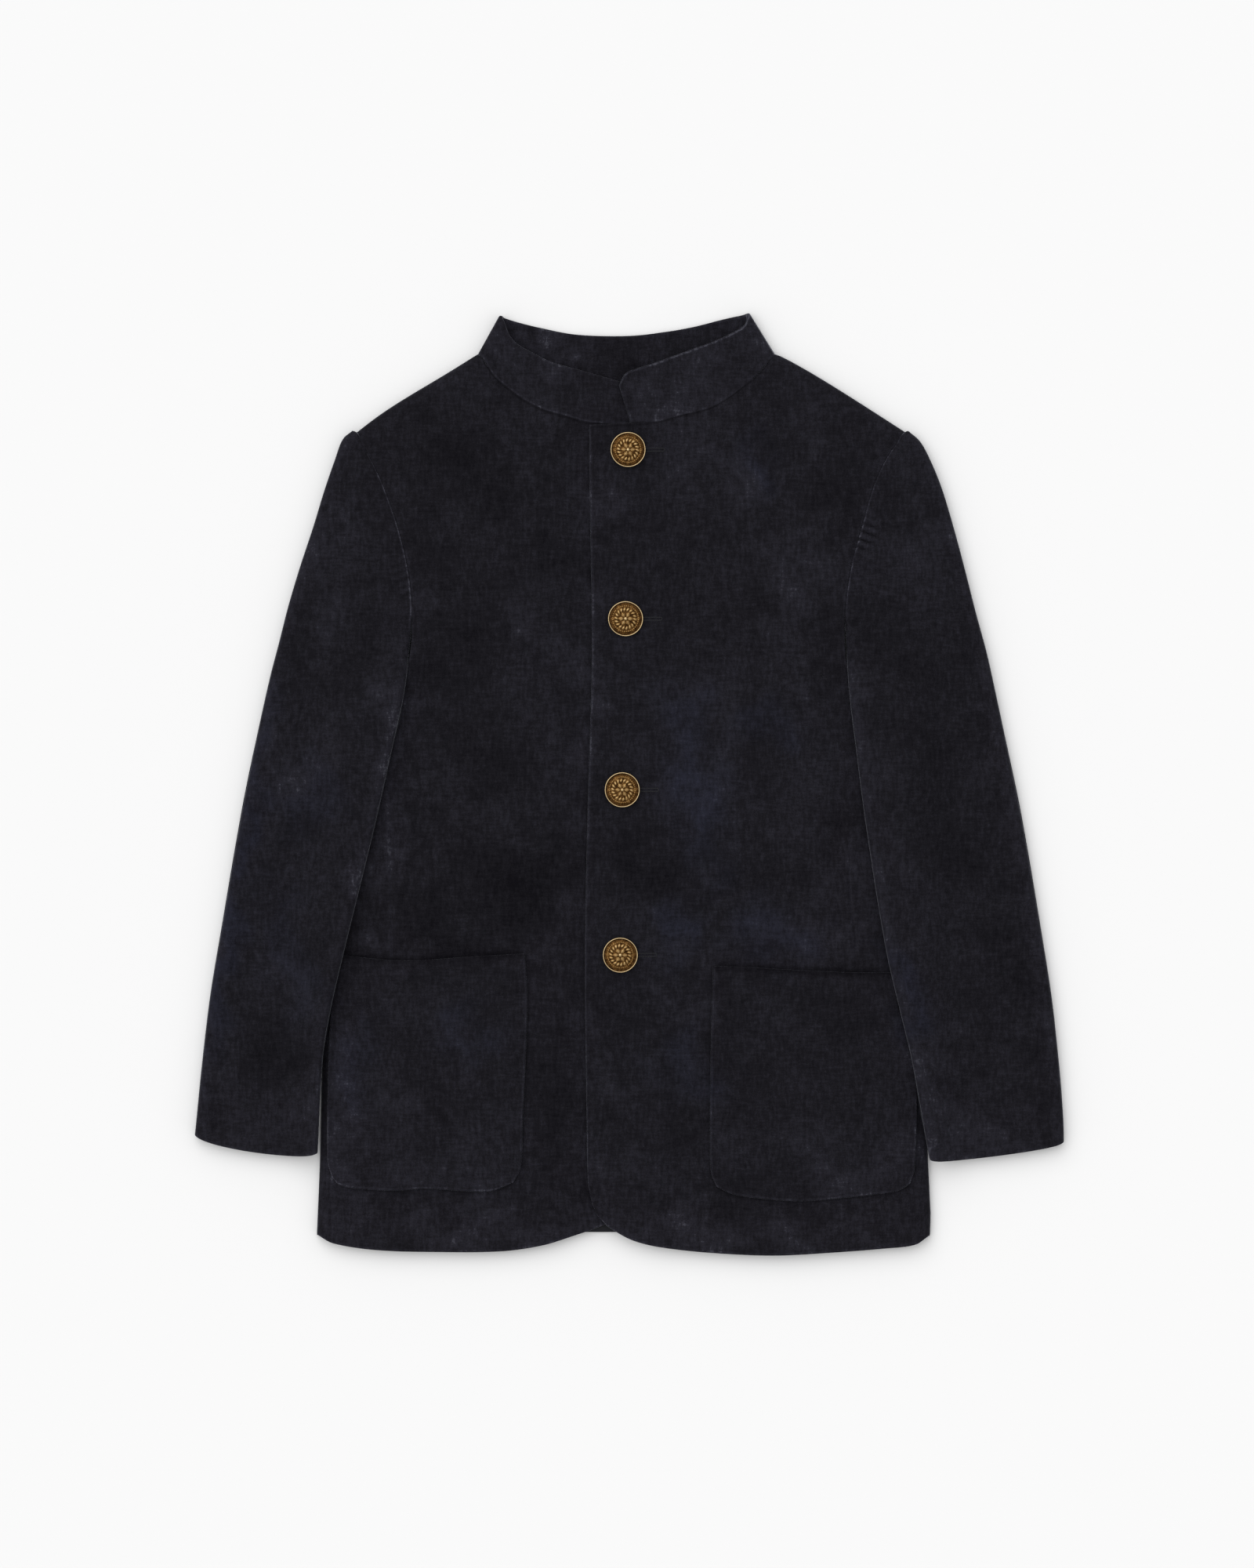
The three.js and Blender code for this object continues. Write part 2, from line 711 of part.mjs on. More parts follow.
// One half of a sleeve from its table: upper is 1 for the half on top, -1 for the one beneath
function sleeveGrid(half, table, upper) {
  const along = walk(smooth(table));
  const outerCurve = smooth(half.outer);
  const count = upper > 0 ? SLEEVE_ROWS : table.length - 1;
  const cuffY = table[table.length - 1][1];
  return Array.from({ length: count + 1 }, (_, i) => {
    const [seamX, iy, oy, folded, level] = upper > 0 ? along(i / count) : table[i];
    const fold = clamp(folded);
    const over = step(TABLE_LEVEL, BODY_LIFT, level);
    const ix = seamX - half.inward * ARMHOLE_GAP * (1 - fold);
    const ox = xAt(outerCurve, oy);
    const whole = Math.hypot(ox - ix, oy - iy);
    const [dx, dy] = [(ox - ix) / whole, (oy - iy) / whole];
    const first = (step(0, 0.3, fold) * WALL) / 2;
    const width = whole - first - WALL / 2;
    const end = Math.min(FOLD_RADIUS, width * 0.3);
    const near = FOLD_STEPS.map((s) => s * end);
    const middle = Array.from({ length: SLEEVE_COLUMNS }, (_, k) =>
      mix(end, width - end, (k + 1) / (SLEEVE_COLUMNS + 1)),
    );
    const stops = [...near, ...middle, ...near.map((d) => width - d).reverse()];
    const bow = CUFF_BOW * step(cuffY + CUFF_REACH, cuffY, iy);
    return stops.map((d) => {
      const w = (first + d) / whole;
      const x = ix + dx * (first + d);
      const y = iy + dy * (first + d) - bow * (4 * w * (1 - w)) ** CUFF_BOW_SHAPE;
      const flat = upper > 0 ? upperHeight(x, y, half) : lowerHeight(x, y, half, over);
      const wave = upper > 0 ? sleeveRipple(x, y, half, w) : 0;
      const core = flat - upper * (FOLD_RADIUS - FOLD_SHARE);
      const joined = upper > 0 ? frontHeight(ix, iy, half) : level;
      const edge = mix(joined, core, fold);
      const reach = mix(HEAD_REACH, FOLD_RADIUS, fold);
      const inner = (edge - flat) * (1 - round(d / reach));
      const outer = (core - flat) * (1 - round((width - d) / FOLD_RADIUS));
      return new THREE.Vector3(x, y, flat + inner + outer + wave);
    });
  });
}

// A patch pocket: points of the front beneath, moved out across the surface
function pocketGrid(half) {
  const sides = [half.pocketBottom, half.pocketTop, half.pocketOuter, half.pocketInner].map((rows) =>
    walk(smooth(rows)),
  );
  const out = WALL / 2 + GAP + POCKET_WALL / 2;
  const slope = 0.5;
  return Array.from({ length: POCKET_ROWS + 1 }, (_, i) =>
    Array.from({ length: POCKET_COLUMNS + 1 }, (_, j) => {
      const [x, y] = patch(...sides, (j / POCKET_COLUMNS) ** 2, i / POCKET_ROWS);
      const rise = (dx, dy) => frontHeight(x + dx, y + dy, half);
      const across = new THREE.Vector3(
        rise(-slope, 0) - rise(slope, 0),
        rise(0, -slope) - rise(0, slope),
        2 * slope,
      ).normalize();
      return new THREE.Vector3(x, y, rise(0, 0)).addScaledVector(across, out);
    }),
  );
}

function collarGrid() {
  const rows = COLLAR.map((row, i) => [...row, i]);
  const along = walk(smooth(rows));
  return Array.from({ length: COLLAR_ROWS + 1 }, (_, i) => {
    const [sx, sy, sh, tx, ty, th, place] = along(i / COLLAR_ROWS);
    const half = place < COLLAR_MIDDLE ? RIGHT : LEFT;
    return Array.from({ length: COLLAR_ACROSS + 1 }, (_, j) => {
      const t = j / COLLAR_ACROSS;
      const x = mix(sx, tx, t);
      const height = mix(TABLE_LEVEL, half.level(x), clamp(mix(sh, th, t)));
      return new THREE.Vector3(x, mix(sy, ty, t), height);
    });
  });
}

// A domed metal button with a raised rim and a shank that reaches the front beneath
function buttonGeometry(x, y) {
  const foot = LAP_UNDER_LEVEL + WALL / 2 + GAP;
  const back = LAP_OVER_LEVEL + WALL / 2 + GAP;
  // radius, height up the section
  const section = [
    [SHANK_RADIUS, foot],
    [SHANK_RADIUS, back],
    [BUTTON_RADIUS - 0.8, back],
    [BUTTON_RADIUS, back + 0.6],
    [BUTTON_RADIUS, back + 2],
    [BUTTON_RADIUS - 0.5, back + 2.5],
    [BUTTON_RADIUS - 1.3, back + 2.2],
    [BUTTON_RADIUS - 1.8, back + 1.8],
    [BUTTON_RADIUS - 4.5, back + 2.4],
    [BUTTON_RADIUS - 7.5, back + 2.7],
  ];
  const points = [new THREE.Vector3(x, y, foot)];
  for (const [r, z] of section)
    for (let k = 0; k < BUTTON_SIDES; k++) {
      const a = (2 * Math.PI * k) / BUTTON_SIDES;
      points.push(new THREE.Vector3(x + r * Math.cos(a), y + r * Math.sin(a), z));
    }
  points.push(new THREE.Vector3(x, y, back + 2.8));
  const index = [];
  const ring = (i, k) => 1 + i * BUTTON_SIDES + (k % BUTTON_SIDES);
  const last = section.length - 1;
  for (let k = 0; k < BUTTON_SIDES; k++) {
    index.push(0, ring(0, k + 1), ring(0, k));
    index.push(points.length - 1, ring(last, k), ring(last, k + 1));
    for (let i = 0; i < last; i++) {
      index.push(ring(i, k), ring(i, k + 1), ring(i + 1, k + 1));
      index.push(ring(i, k), ring(i + 1, k + 1), ring(i + 1, k));
    }
  }
  return facingOut(points, index);
}

const wasm = await Module();
wasm.setup();

function solid(geometry) {
  geometry.deleteAttribute("normal");
  geometry.deleteAttribute("uv");
  const merged = mergeVertices(geometry, 1e-4);
  return new wasm.Manifold(
    new wasm.Mesh({
      numProp: 3,
      vertProperties: merged.getAttribute("position").array,
      triVerts: new Uint32Array(merged.index.array),
    }),
  );
}

// The left front with a keyhole cut through it beside each button
function withButtonholes(geometry) {
  let cloth = solid(geometry);
  const depth = WALL * 4;
  for (const [x, y] of BUTTONS) {
    const shaft = new THREE.CylinderGeometry(HOLE_RADIUS, HOLE_RADIUS, depth, HOLE_SIDES)
      .rotateX(Math.PI / 2)
      .translate(x, y, LAP_OVER_LEVEL);
    const slit = new THREE.BoxGeometry(HOLE_LENGTH, HOLE_WIDTH, depth).translate(
      x + HOLE_LENGTH / 2,
      y,
      LAP_OVER_LEVEL,
    );
    cloth = cloth.subtract(solid(shaft).add(solid(slit)));
  }
  const mesh = cloth.getMesh();
  return new THREE.BufferGeometry()
    .setAttribute("position", new THREE.BufferAttribute(new Float32Array(mesh.vertProperties), 3))
    .setIndex(new THREE.BufferAttribute(new Uint32Array(mesh.triVerts), 1));
}

const pieces = [
  ["back", sheet(backGrid(), WALL), VELVET],
  ["front_right", sheet(frontGrid(RIGHT), WALL), VELVET],
  ["front_left", withButtonholes(sheet(frontGrid(LEFT), WALL)), VELVET],
  ["collar", sheet(collarGrid(), WALL), VELVET],
  ["sleeve_right_top", sheet(sleeveGrid(RIGHT, RIGHT.top, 1), WALL), VELVET],
  ["sleeve_right_under", sheet(sleeveGrid(RIGHT, RIGHT.under, -1), WALL), VELVET],
  ["sleeve_left_top", sheet(sleeveGrid(LEFT, LEFT.top, 1), WALL), VELVET],
  ["sleeve_left_under", sheet(sleeveGrid(LEFT, LEFT.under, -1), WALL), VELVET],
  ["pocket_right", sheet(pocketGrid(RIGHT), POCKET_WALL), VELVET],
  ["pocket_left", sheet(pocketGrid(LEFT), POCKET_WALL), VELVET],
  ...BUTTONS.map(([x, y], i) => [`button_${i + 1}`, buttonGeometry(x, y), BRASS]),
];

const blazer = new THREE.Group();
blazer.name = "blazer";
const box = new THREE.Box3();
for (const [, geometry] of pieces) {
  geometry.computeBoundingBox();
  box.union(geometry.boundingBox);
}
const middle = box.getCenter(new THREE.Vector3());
for (const [name, geometry, colour] of pieces) {
  geometry.translate(-middle.x, -middle.y, -box.min.z);
  geometry.computeVertexNormals();
  const material = new THREE.MeshStandardMaterial({
    color: colour,
    roughness: colour === BRASS ? 0.4 : 0.9,
    metalness: colour === BRASS ? 1 : 0,
  });
  const mesh = new THREE.Mesh(geometry, material);
  mesh.name = name;
  blazer.add(mesh);
}

export default blazer;
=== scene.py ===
# %% [markdown]
# This blazer is a child's velvet jacket, buttoned up and laid flat on its back. Blender gets the solids
# from the CAD step, in metres, and this lesson dresses each of them: every panel of cloth becomes a thin
# shell with its seams, darts and creases, and each button gets its relief. Everything is worked out in
# millimetres and turned into metres when it becomes a mesh. +X points to the right of the view and +Y to
# the collar.

# %% The tools and the frame
import math

import bpy
import numpy as np
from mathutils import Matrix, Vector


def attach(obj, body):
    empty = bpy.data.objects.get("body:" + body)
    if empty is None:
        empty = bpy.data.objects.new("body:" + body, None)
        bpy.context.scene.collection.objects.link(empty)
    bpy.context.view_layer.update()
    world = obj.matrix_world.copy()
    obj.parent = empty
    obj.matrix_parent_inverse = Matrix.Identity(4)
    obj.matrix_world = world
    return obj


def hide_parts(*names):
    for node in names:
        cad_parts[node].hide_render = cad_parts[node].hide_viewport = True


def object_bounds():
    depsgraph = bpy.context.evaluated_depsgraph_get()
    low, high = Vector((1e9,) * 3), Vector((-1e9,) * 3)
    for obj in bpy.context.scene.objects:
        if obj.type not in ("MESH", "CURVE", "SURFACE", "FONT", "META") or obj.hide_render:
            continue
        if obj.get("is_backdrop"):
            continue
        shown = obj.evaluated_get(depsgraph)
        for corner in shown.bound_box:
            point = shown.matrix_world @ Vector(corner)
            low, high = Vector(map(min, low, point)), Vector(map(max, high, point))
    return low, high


MM = 0.001
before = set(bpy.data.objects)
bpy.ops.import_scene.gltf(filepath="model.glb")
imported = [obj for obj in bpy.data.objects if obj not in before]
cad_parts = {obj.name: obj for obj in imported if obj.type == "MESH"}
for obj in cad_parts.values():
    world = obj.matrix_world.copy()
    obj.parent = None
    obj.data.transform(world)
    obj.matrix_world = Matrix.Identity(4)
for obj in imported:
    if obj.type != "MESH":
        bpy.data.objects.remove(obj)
CAD_BOX = [list(corner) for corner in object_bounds()]
print("CAD box, m:", CAD_BOX)

# %% [markdown]
# The view is from straight above, so nothing of the jacket is foreshortened. A long lens from four metres
# keeps the thick places from looking larger than the thin ones, as a copy stand does. The lens follows
# from the height of the view and the distance, so no number has to be tried out.

# %% The camera
CAMERA_HEIGHT = 4.0
CLOTH_LEVEL = 0.007
FRAME_HEIGHT = 0.888
FRAME_MIDDLE = (-0.0013, 0.0007)
SENSOR = 36.0

scene = bpy.context.scene
camera = bpy.data.objects.new("camera", bpy.data.cameras.new("camera"))
camera.data.sensor_fit = "VERTICAL"
camera.data.sensor_height = SENSOR
camera.data.lens = SENSOR * (CAMERA_HEIGHT - CLOTH_LEVEL) / FRAME_HEIGHT
camera.data.clip_start = 0.05
camera.data.clip_end = 30.0
camera.location = (*FRAME_MIDDLE, CAMERA_HEIGHT)
scene.collection.objects.link(camera)
scene.camera = camera
print("lens, mm:", round(camera.data.lens, 1))

# %% [markdown]
# Velvet is lit with large soft sources, because a small one would put hard glints on the metal and leave
# the pile dull. A pale surrounding does most of the work. A very broad light from the upper left is
# added, so that seams and pocket edges get a light side and a dark side. It's as far off as a sun, so the
# floor stays even.

# %% The floor and the light
FLOOR_SIDE = 12.0
FLOOR_GREY = 0.92
SKY_STRENGTH = 0.66
KEY_STRENGTH = 1.41
KEY_BREADTH = 75  # degrees of sky that the light fills
KEY_TILT = 32  # degrees from straight above
KEY_FROM = 128  # degrees round from +X


def new_paint(name, **sockets):
    """A material, its node tree and its Principled shader, with the shader's sockets set by name."""
    paint = bpy.data.materials.new(name)
    paint.use_nodes = True
    shader = paint.node_tree.nodes["Principled BSDF"]
    for key, value in sockets.items():
        shader.inputs[key.replace("_", " ")].default_value = value
    return paint, paint.node_tree, shader


def pale_floor():
    """A square in the plane z = 0, centred under the jacket, of one pale matt colour."""
    half = FLOOR_SIDE / 2
    corners = [(-half, -half, 0), (half, -half, 0), (half, half, 0), (-half, half, 0)]
    mesh = bpy.data.meshes.new("floor")
    mesh.from_pydata(corners, [], [(0, 1, 2, 3)])
    floor = bpy.data.objects.new("floor", mesh)
    scene.collection.objects.link(floor)
    grey = (FLOOR_GREY, FLOOR_GREY, FLOOR_GREY, 1)
    paint, _, _ = new_paint("pale floor", Base_Color=grey, Roughness=0.9, Specular_IOR_Level=0.0)
    mesh.materials.append(paint)
    floor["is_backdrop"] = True


pale_floor()
key = bpy.data.lights.new("broad key", "SUN")
key.energy = KEY_STRENGTH
key.angle = math.radians(KEY_BREADTH)
lamp = bpy.data.objects.new("broad key", key)
lamp.rotation_euler = (math.radians(KEY_TILT), 0, math.radians(KEY_FROM + 90))
scene.collection.objects.link(lamp)
world = bpy.data.worlds.new("pale room")
world.use_nodes = True
world.node_tree.nodes["Background"].inputs["Color"].default_value = (1, 1, 1, 1)
world.node_tree.nodes["Background"].inputs["Strength"].default_value = SKY_STRENGTH
scene.world = world
scene.view_settings.view_transform = "Standard"
print("light from", KEY_FROM, "degrees, tilted", KEY_TILT)

# %% [markdown]
# A tailor starts from the pattern: the line of each seam, hem and fold. These tables are the same lines
# as the solids are cut to, in millimetres. The jacket isn't symmetric as it lies, so each half has its
# own. Right and left are the wearer's, and the right half lies at negative X.

# %% Thicknesses and levels
WALL = 2.5  # velvet and lining together
POCKET_WALL = 1.8
TABLE_LEVEL = WALL / 2  # middle of a layer that lies on the table
FRONT_LEVEL = 7.0  # middle of a layer that lies over another
LAP_UNDER_LEVEL = 5.3
LAP_OVER_LEVEL = 8.15
SEAT_LEVEL = 3.0  # edge of a front where it meets the back
CURL = 7.0  # width of the roll at the side and the shoulder
FOLD_RADIUS = (FRONT_LEVEL - TABLE_LEVEL) / 2
GAP = 0.3
BODY_LIFT = 9.2  # a sleeve lies this much higher over the body
POCKET_LIFT = 2.7

# %% The pattern of the right half
RIGHT = {
    "name": "right",
    "inward": 1,
    "side": [
        (-177.2, -255.1), (-176.7, -243.5), (-175.4, -211.6), (-173.6, -132.5), (-170.1, -43.7),
        (-166.5, 22.9), (-164.6, 46.0),
    ],
    "armhole": [
        (-150.0, 51.5), (-137.0, 57.5), (-127.4, 65.0), (-124.0, 76.0), (-123.0, 96.1), (-124.8, 118.3),
        (-129.6, 141.0), (-135.9, 160.5), (-142.5, 176.5), (-147.9, 186.7),
    ],
    "shoulder": [(-85.2, 244.9), (-155.0, 199.6)],
    "neck": [
        (11.1, 204.5), (-1.3, 204.9), (-22.6, 206.2), (-36.0, 209.8), (-47.1, 212.9), (-58.6, 218.2),
        (-67.5, 224.4), (-76.4, 232.0), (-82.1, 240.0),
    ],
    "edge": [(4.0, -234.7), (8.9, -223.6), (11.1, -208.0), (11.1, 0.0), (11.1, 204.5)],
    "hem": [
        (4.0, -234.7), (-3.6, -242.6), (-13.8, -248.9), (-33.7, -256.0), (-50.2, -260.9),
        (-72.4, -264.0), (-107.9, -264.4), (-143.4, -263.3), (-167.8, -259.5),
    ],
    "back_armhole": [
        (-155.8, 52.0), (-147.9, 63.0), (-143.9, 80.6), (-143.0, 102.8), (-145.2, 133.9),
        (-148.7, 160.5), (-152.3, 182.7),
    ],
    "outer": [
        (-157.2, 200.7), (-162.5, 196.0), (-166.9, 184.5), (-172.7, 167.6), (-178.9, 147.2),
        (-186.5, 124.1), (-193.1, 101.9), (-198.5, 80.6), (-203.4, 61.9), (-209.6, 34.0),
        (-219.3, -14.0), (-231.3, -82.8), (-236.9, -115.7), (-240.4, -142.3), (-246.4, -196.5),
    ],
    # Upper and lower half of the sleeve, from the shoulder to the cuff: inner x, inner y, outer y.
    "top": [
        (-154.0, 195.0, 200.7), (-149.0, 187.2, 196.0), (-142.5, 176.5, 184.5), (-135.9, 160.5, 167.6),
        (-129.6, 141.0, 147.2), (-124.8, 118.3, 124.1), (-123.0, 96.1, 101.9), (-124.9, 75.0, 81.0),
        (-127.0, 53.9, 61.9), (-133.2, 25.1, 34.0), (-144.3, -24.2, -14.0), (-161.2, -93.5, -82.8),
        (-168.7, -125.9, -115.7), (-173.2, -152.5, -142.3), (-176.3, -206.2, -196.5),
    ],
    "under": [
        (-155.3, 196.6, 198.8), (-152.8, 183.0, 187.0), (-149.2, 160.5, 160.0), (-145.7, 134.0, 133.0),
        (-143.5, 103.0, 90.0), (-144.4, 80.6, 69.0), (-149.0, 63.6, 50.0), (-157.0, 52.6, 34.0),
        (-167.8, 44.8, 22.0), (-164.6, 45.2, 18.0), (-160.6, 46.2, 13.0), (-154.0, 49.0, 7.0),
        (-146.0, 52.5, 1.0), (-137.0, 56.5, -6.0), (-129.4, 59.0, -14.0), (-129.0, 42.0, -26.5),
        (-134.5, 20.0, -46.0), (-144.3, -24.2, -75.0), (-153.0, -60.0, -98.0), (-161.2, -93.5, -124.0),
        (-168.7, -125.9, -148.0), (-173.2, -152.5, -166.0), (-175.3, -180.0, -183.0),
        (-176.3, -206.2, -196.5),
    ],
    # The four sides of the pocket.
    "pocket_top": [(-166.8, -95.7), (-128.8, -99.2), (-90.1, -97.0), (-59.1, -95.2)],
    "pocket_inner": [
        (-65.7, -224.9), (-61.3, -215.6), (-60.4, -190.7), (-58.6, -154.7), (-57.7, -121.4),
        (-59.1, -95.2),
    ],
    "pocket_outer": [(-168.2, -222.0), (-170.3, -212.0), (-169.4, -154.7), (-166.8, -95.7)],
    "pocket_bottom": [
        (-168.2, -222.0), (-164.0, -226.3), (-153.2, -228.4), (-132.3, -229.5), (-115.9, -228.4),
        (-79.5, -229.8), (-65.7, -224.9),
    ],
}

# %% The pattern of the left half
LEFT = {
    "name": "left",
    "inward": -1,
    "side": [
        (170.5, -255.5), (170.9, -243.5), (169.2, -208.0), (167.4, -132.5), (163.8, -43.7),
        (160.7, 22.9), (159.6, 46.0),
    ],
    "armhole": [
        (146.0, 51.5), (134.0, 57.5), (125.0, 65.0), (122.4, 76.0), (122.3, 98.3), (125.7, 124.1),
        (131.4, 145.0), (137.2, 165.8), (143.4, 180.9), (149.2, 190.3),
    ],
    "shoulder": [(81.3, 244.9), (156.7, 200.0)],
    "neck": [
        (-22.6, 204.0), (-1.3, 205.3), (15.5, 206.7), (30.6, 210.7), (44.4, 214.2), (55.1, 219.6),
        (64.8, 226.7), (71.5, 231.5), (76.8, 237.3),
    ],
    "edge": [
        (-17.3, -243.5), (-21.8, -233.3), (-23.5, -221.3), (-24.0, -194.7), (-25.1, -97.0),
        (-23.5, -12.7), (-21.2, 75.0), (-22.6, 178.3), (-22.6, 204.0),
    ],
    "hem": [
        (-17.3, -243.5), (-13.3, -248.9), (-7.5, -252.9), (1.8, -257.7), (15.5, -261.3), (42.6, -264.6),
        (80.8, -266.4), (114.1, -264.8), (145.2, -262.4), (162.0, -260.3),
    ],
    "back_armhole": [
        (150.5, 52.0), (143.4, 63.0), (140.7, 80.6), (140.3, 102.8), (143.0, 133.9), (147.0, 160.5),
        (152.3, 182.7),
    ],
    "outer": [
        (159.0, 200.0), (165.2, 194.2), (170.9, 183.6), (177.2, 168.1), (183.8, 146.3), (190.0, 123.2),
        (196.7, 96.6), (202.5, 75.3), (206.9, 55.7), (212.7, 28.2), (222.4, -19.3), (234.0, -86.4),
        (239.3, -119.7), (242.4, -146.3), (246.0, -184.0), (246.4, -197.4),
    ],
    "top": [
        (156.1, 196.4, 200.0), (150.4, 190.9, 194.2), (144.3, 181.2, 183.6), (137.2, 165.8, 168.1),
        (131.4, 145.0, 146.3), (125.7, 124.1, 123.2), (122.3, 98.3, 96.6), (123.2, 75.3, 75.3),
        (124.3, 53.9, 55.7), (127.7, 25.1, 28.2), (134.1, -24.2, -19.3), (145.2, -93.5, -86.4),
        (153.2, -128.1, -119.7), (159.8, -155.6, -146.3), (170.1, -207.1, -197.4),
    ],
    "under": [
        (156.4, 196.4, 198.4), (152.8, 183.0, 187.0), (147.5, 160.5, 160.0), (143.5, 134.0, 133.0),
        (140.8, 103.0, 90.0), (141.2, 80.6, 69.0), (144.6, 63.6, 50.0), (151.8, 52.6, 34.0),
        (162.8, 44.8, 22.0), (159.6, 45.2, 18.0), (155.6, 46.2, 13.0), (149.5, 49.0, 7.0),
        (142.0, 52.5, 1.0), (133.0, 56.5, -6.0), (126.4, 59.0, -14.0), (125.6, 42.0, -26.5),
        (128.4, 20.0, -46.0), (134.1, -24.2, -75.0), (139.8, -60.0, -98.0), (145.2, -93.5, -124.0),
        (153.2, -128.1, -148.0), (159.8, -155.6, -166.0), (164.5, -182.0, -183.0),
        (170.1, -207.1, -197.4),
    ],
    "pocket_top": [(160.9, -105.9), (126.5, -105.9), (98.6, -104.8), (69.7, -103.2), (47.5, -102.3)],
    "pocket_inner": [(49.4, -227.2), (46.2, -218.7), (45.7, -190.7), (46.2, -149.0), (47.5, -102.3)],
    "pocket_outer": [(159.0, -225.6), (161.4, -217.0), (162.4, -170.0), (160.9, -105.9)],
    "pocket_bottom": [
        (159.0, -225.6), (152.0, -229.6), (140.3, -231.5), (119.4, -233.8), (98.6, -235.5),
        (78.1, -234.4), (58.6, -231.5), (49.4, -227.2),
    ],
}

# %% The back's neck and hem, the collar band and the buttons
NECK_BACK = [
    (-84.6, 244.6), (-72.4, 237.8), (-54.6, 232.4), (-28.0, 228.9), (-1.3, 228.0), (25.3, 228.9),
    (49.7, 232.4), (68.4, 237.8), (80.8, 244.6),
]
HEM_BACK = [(-90.1, -253.7), (-13.0, -253.4), (87.5, -253.7)]
# Seam x, y, height, upper edge x, y, height. Heights run from 0 on the table to 1 at the front.
COLLAR = [
    (11.1, 205.0, 1, 11.1, 223.1, 1), (-1.3, 205.4, 1, -5.8, 228.0, 1),
    (-22.6, 206.7, 1, -23.1, 232.9, 1), (-36.0, 210.3, 1, -34.6, 236.0, 1),
    (-47.0, 213.4, 1, -44.4, 238.9, 1), (-58.4, 218.8, 1, -53.7, 243.5, 1),
    (-67.2, 225.0, 1, -62.6, 248.4, 1), (-75.9, 232.5, 1, -68.2, 254.2, 1),
    (-80.3, 239.6, 1, -71.1, 261.5, 1), (-82.6, 244.8, 0.85, -72.7, 264.0, 0.85),
    (-83.5, 246.6, 0.5, -73.2, 264.6, 0.5), (-82.6, 246.2, 0.15, -72.5, 264.6, 0.15),
    (-79.7, 243.3, 0, -70.6, 263.9, 0), (-72.2, 238.6, 0, -63.5, 261.7, 0),
    (-54.5, 233.1, 0, -51.1, 258.6, 0), (-28.0, 229.5, 0, -29.3, 254.6, 0),
    (-1.3, 228.6, 0, -1.3, 253.9, 0), (25.3, 229.5, 0, 19.5, 256.0, 0),
    (49.6, 233.1, 0, 37.3, 259.1, 0), (68.2, 238.6, 0, 54.6, 263.5, 0),
    (76.3, 243.0, 0, 64.3, 265.6, 0), (79.0, 245.7, 0.15, 67.0, 266.0, 0.15),
    (79.9, 246.2, 0.5, 67.9, 265.6, 0.5), (79.1, 244.0, 0.85, 67.4, 264.4, 0.85),
    (76.3, 238.9, 1, 65.4, 259.6, 1), (70.7, 232.6, 1, 57.7, 254.9, 1),
    (64.5, 227.4, 1, 47.5, 250.2, 1), (54.8, 220.3, 1, 37.3, 246.4, 1),
    (44.2, 214.8, 1, 25.3, 242.0, 1), (30.5, 211.3, 1, 12.9, 237.5, 1), (15.5, 207.3, 1, 3.6, 234.7, 1),
    (6.0, 206.6, 1, -2.3, 231.9, 1), (0.3, 206.4, 1, -5.6, 225.6, 1),
]
COLLAR_MIDDLE = 16  # the row at the middle of the back
BUTTONS = [(-0.7, 189.9), (-2.1, 94.2), (-4.0, -2.6), (-5.1, -96.1)]

# %% [markdown]
# A pattern line has few points, and a tailor draws a smooth curve through them. The helpers do that with
# whole arrays: one makes the curve, one walks along it at an even pace, and one fills the space between
# four curves, which is how each panel gets its net of points.

# %% Curves and nets
def clamp(t):
    """t, held between 0 and 1."""
    return np.clip(t, 0.0, 1.0)


def step(a, b, x):
    """0 before a and 1 after b, with a soft S between: 3 t squared less 2 t cubed."""
    t = clamp((np.asarray(x, float) - a) / (b - a))
    return t * t * (3 - 2 * t)


def mix(a, b, t):
    """a at t = 0 and b at t = 1, in a straight line."""
    return a + (b - a) * t


def quarter(t):
    """A quarter circle: 0 at the edge, and 1 from one radius inward."""
    return np.sqrt(1 - (1 - clamp(t)) ** 2)


def bell(distance, width):
    """A bell: e to the power of less distance over width, squared."""
    return np.exp(-((distance / width) ** 2))


def smooth(rows, samples=12):
    """A smooth curve through rows. Between two rows it is the cubic whose slope at each row is the mean
    slope to the neighbours of that row, measured over the distance in plan."""
    rows = np.asarray(rows, float)
    gaps = np.hypot(*np.diff(rows[:, :2], axis=0).T) + 1e-6
    knots = np.concatenate([[0], np.cumsum(gaps)])
    ahead = np.minimum(np.arange(len(rows)) + 1, len(rows) - 1)
    behind = np.maximum(np.arange(len(rows)) - 1, 0)
    slope = (rows[ahead] - rows[behind]) / (knots[ahead] - knots[behind])[:, None]
    t = (np.arange(1, samples + 1) / samples)[None, :, None]
    reach = gaps[:, None, None]
    curve = (
        (1 + 2 * t) * (1 - t) ** 2 * rows[:-1, None]
        + t * (1 - t) ** 2 * reach * slope[:-1, None]
        + t * t * (3 - 2 * t) * rows[1:, None]
        + t * t * (t - 1) * reach * slope[1:, None]
    )
    return np.vstack([rows[:1], curve.reshape(-1, rows.shape[1])])


def walk(rows, shares):
    """Points along rows at the given shares of their whole length in plan."""
    rows = np.asarray(rows, float)
    reach = np.concatenate([[0], np.cumsum(np.hypot(*np.diff(rows[:, :2], axis=0).T))])
    places = np.asarray(shares) * reach[-1]
    return np.stack([np.interp(places, reach, column) for column in rows.T], axis=-1)


def x_at(rows, y):
    """x on a line of x, y at height y, for a line that runs one way in y."""
    rows = np.asarray(rows, float)
    if rows[0, 1] > rows[-1, 1]:
        rows = rows[::-1]
    return np.interp(y, rows[:, 1], rows[:, 0])


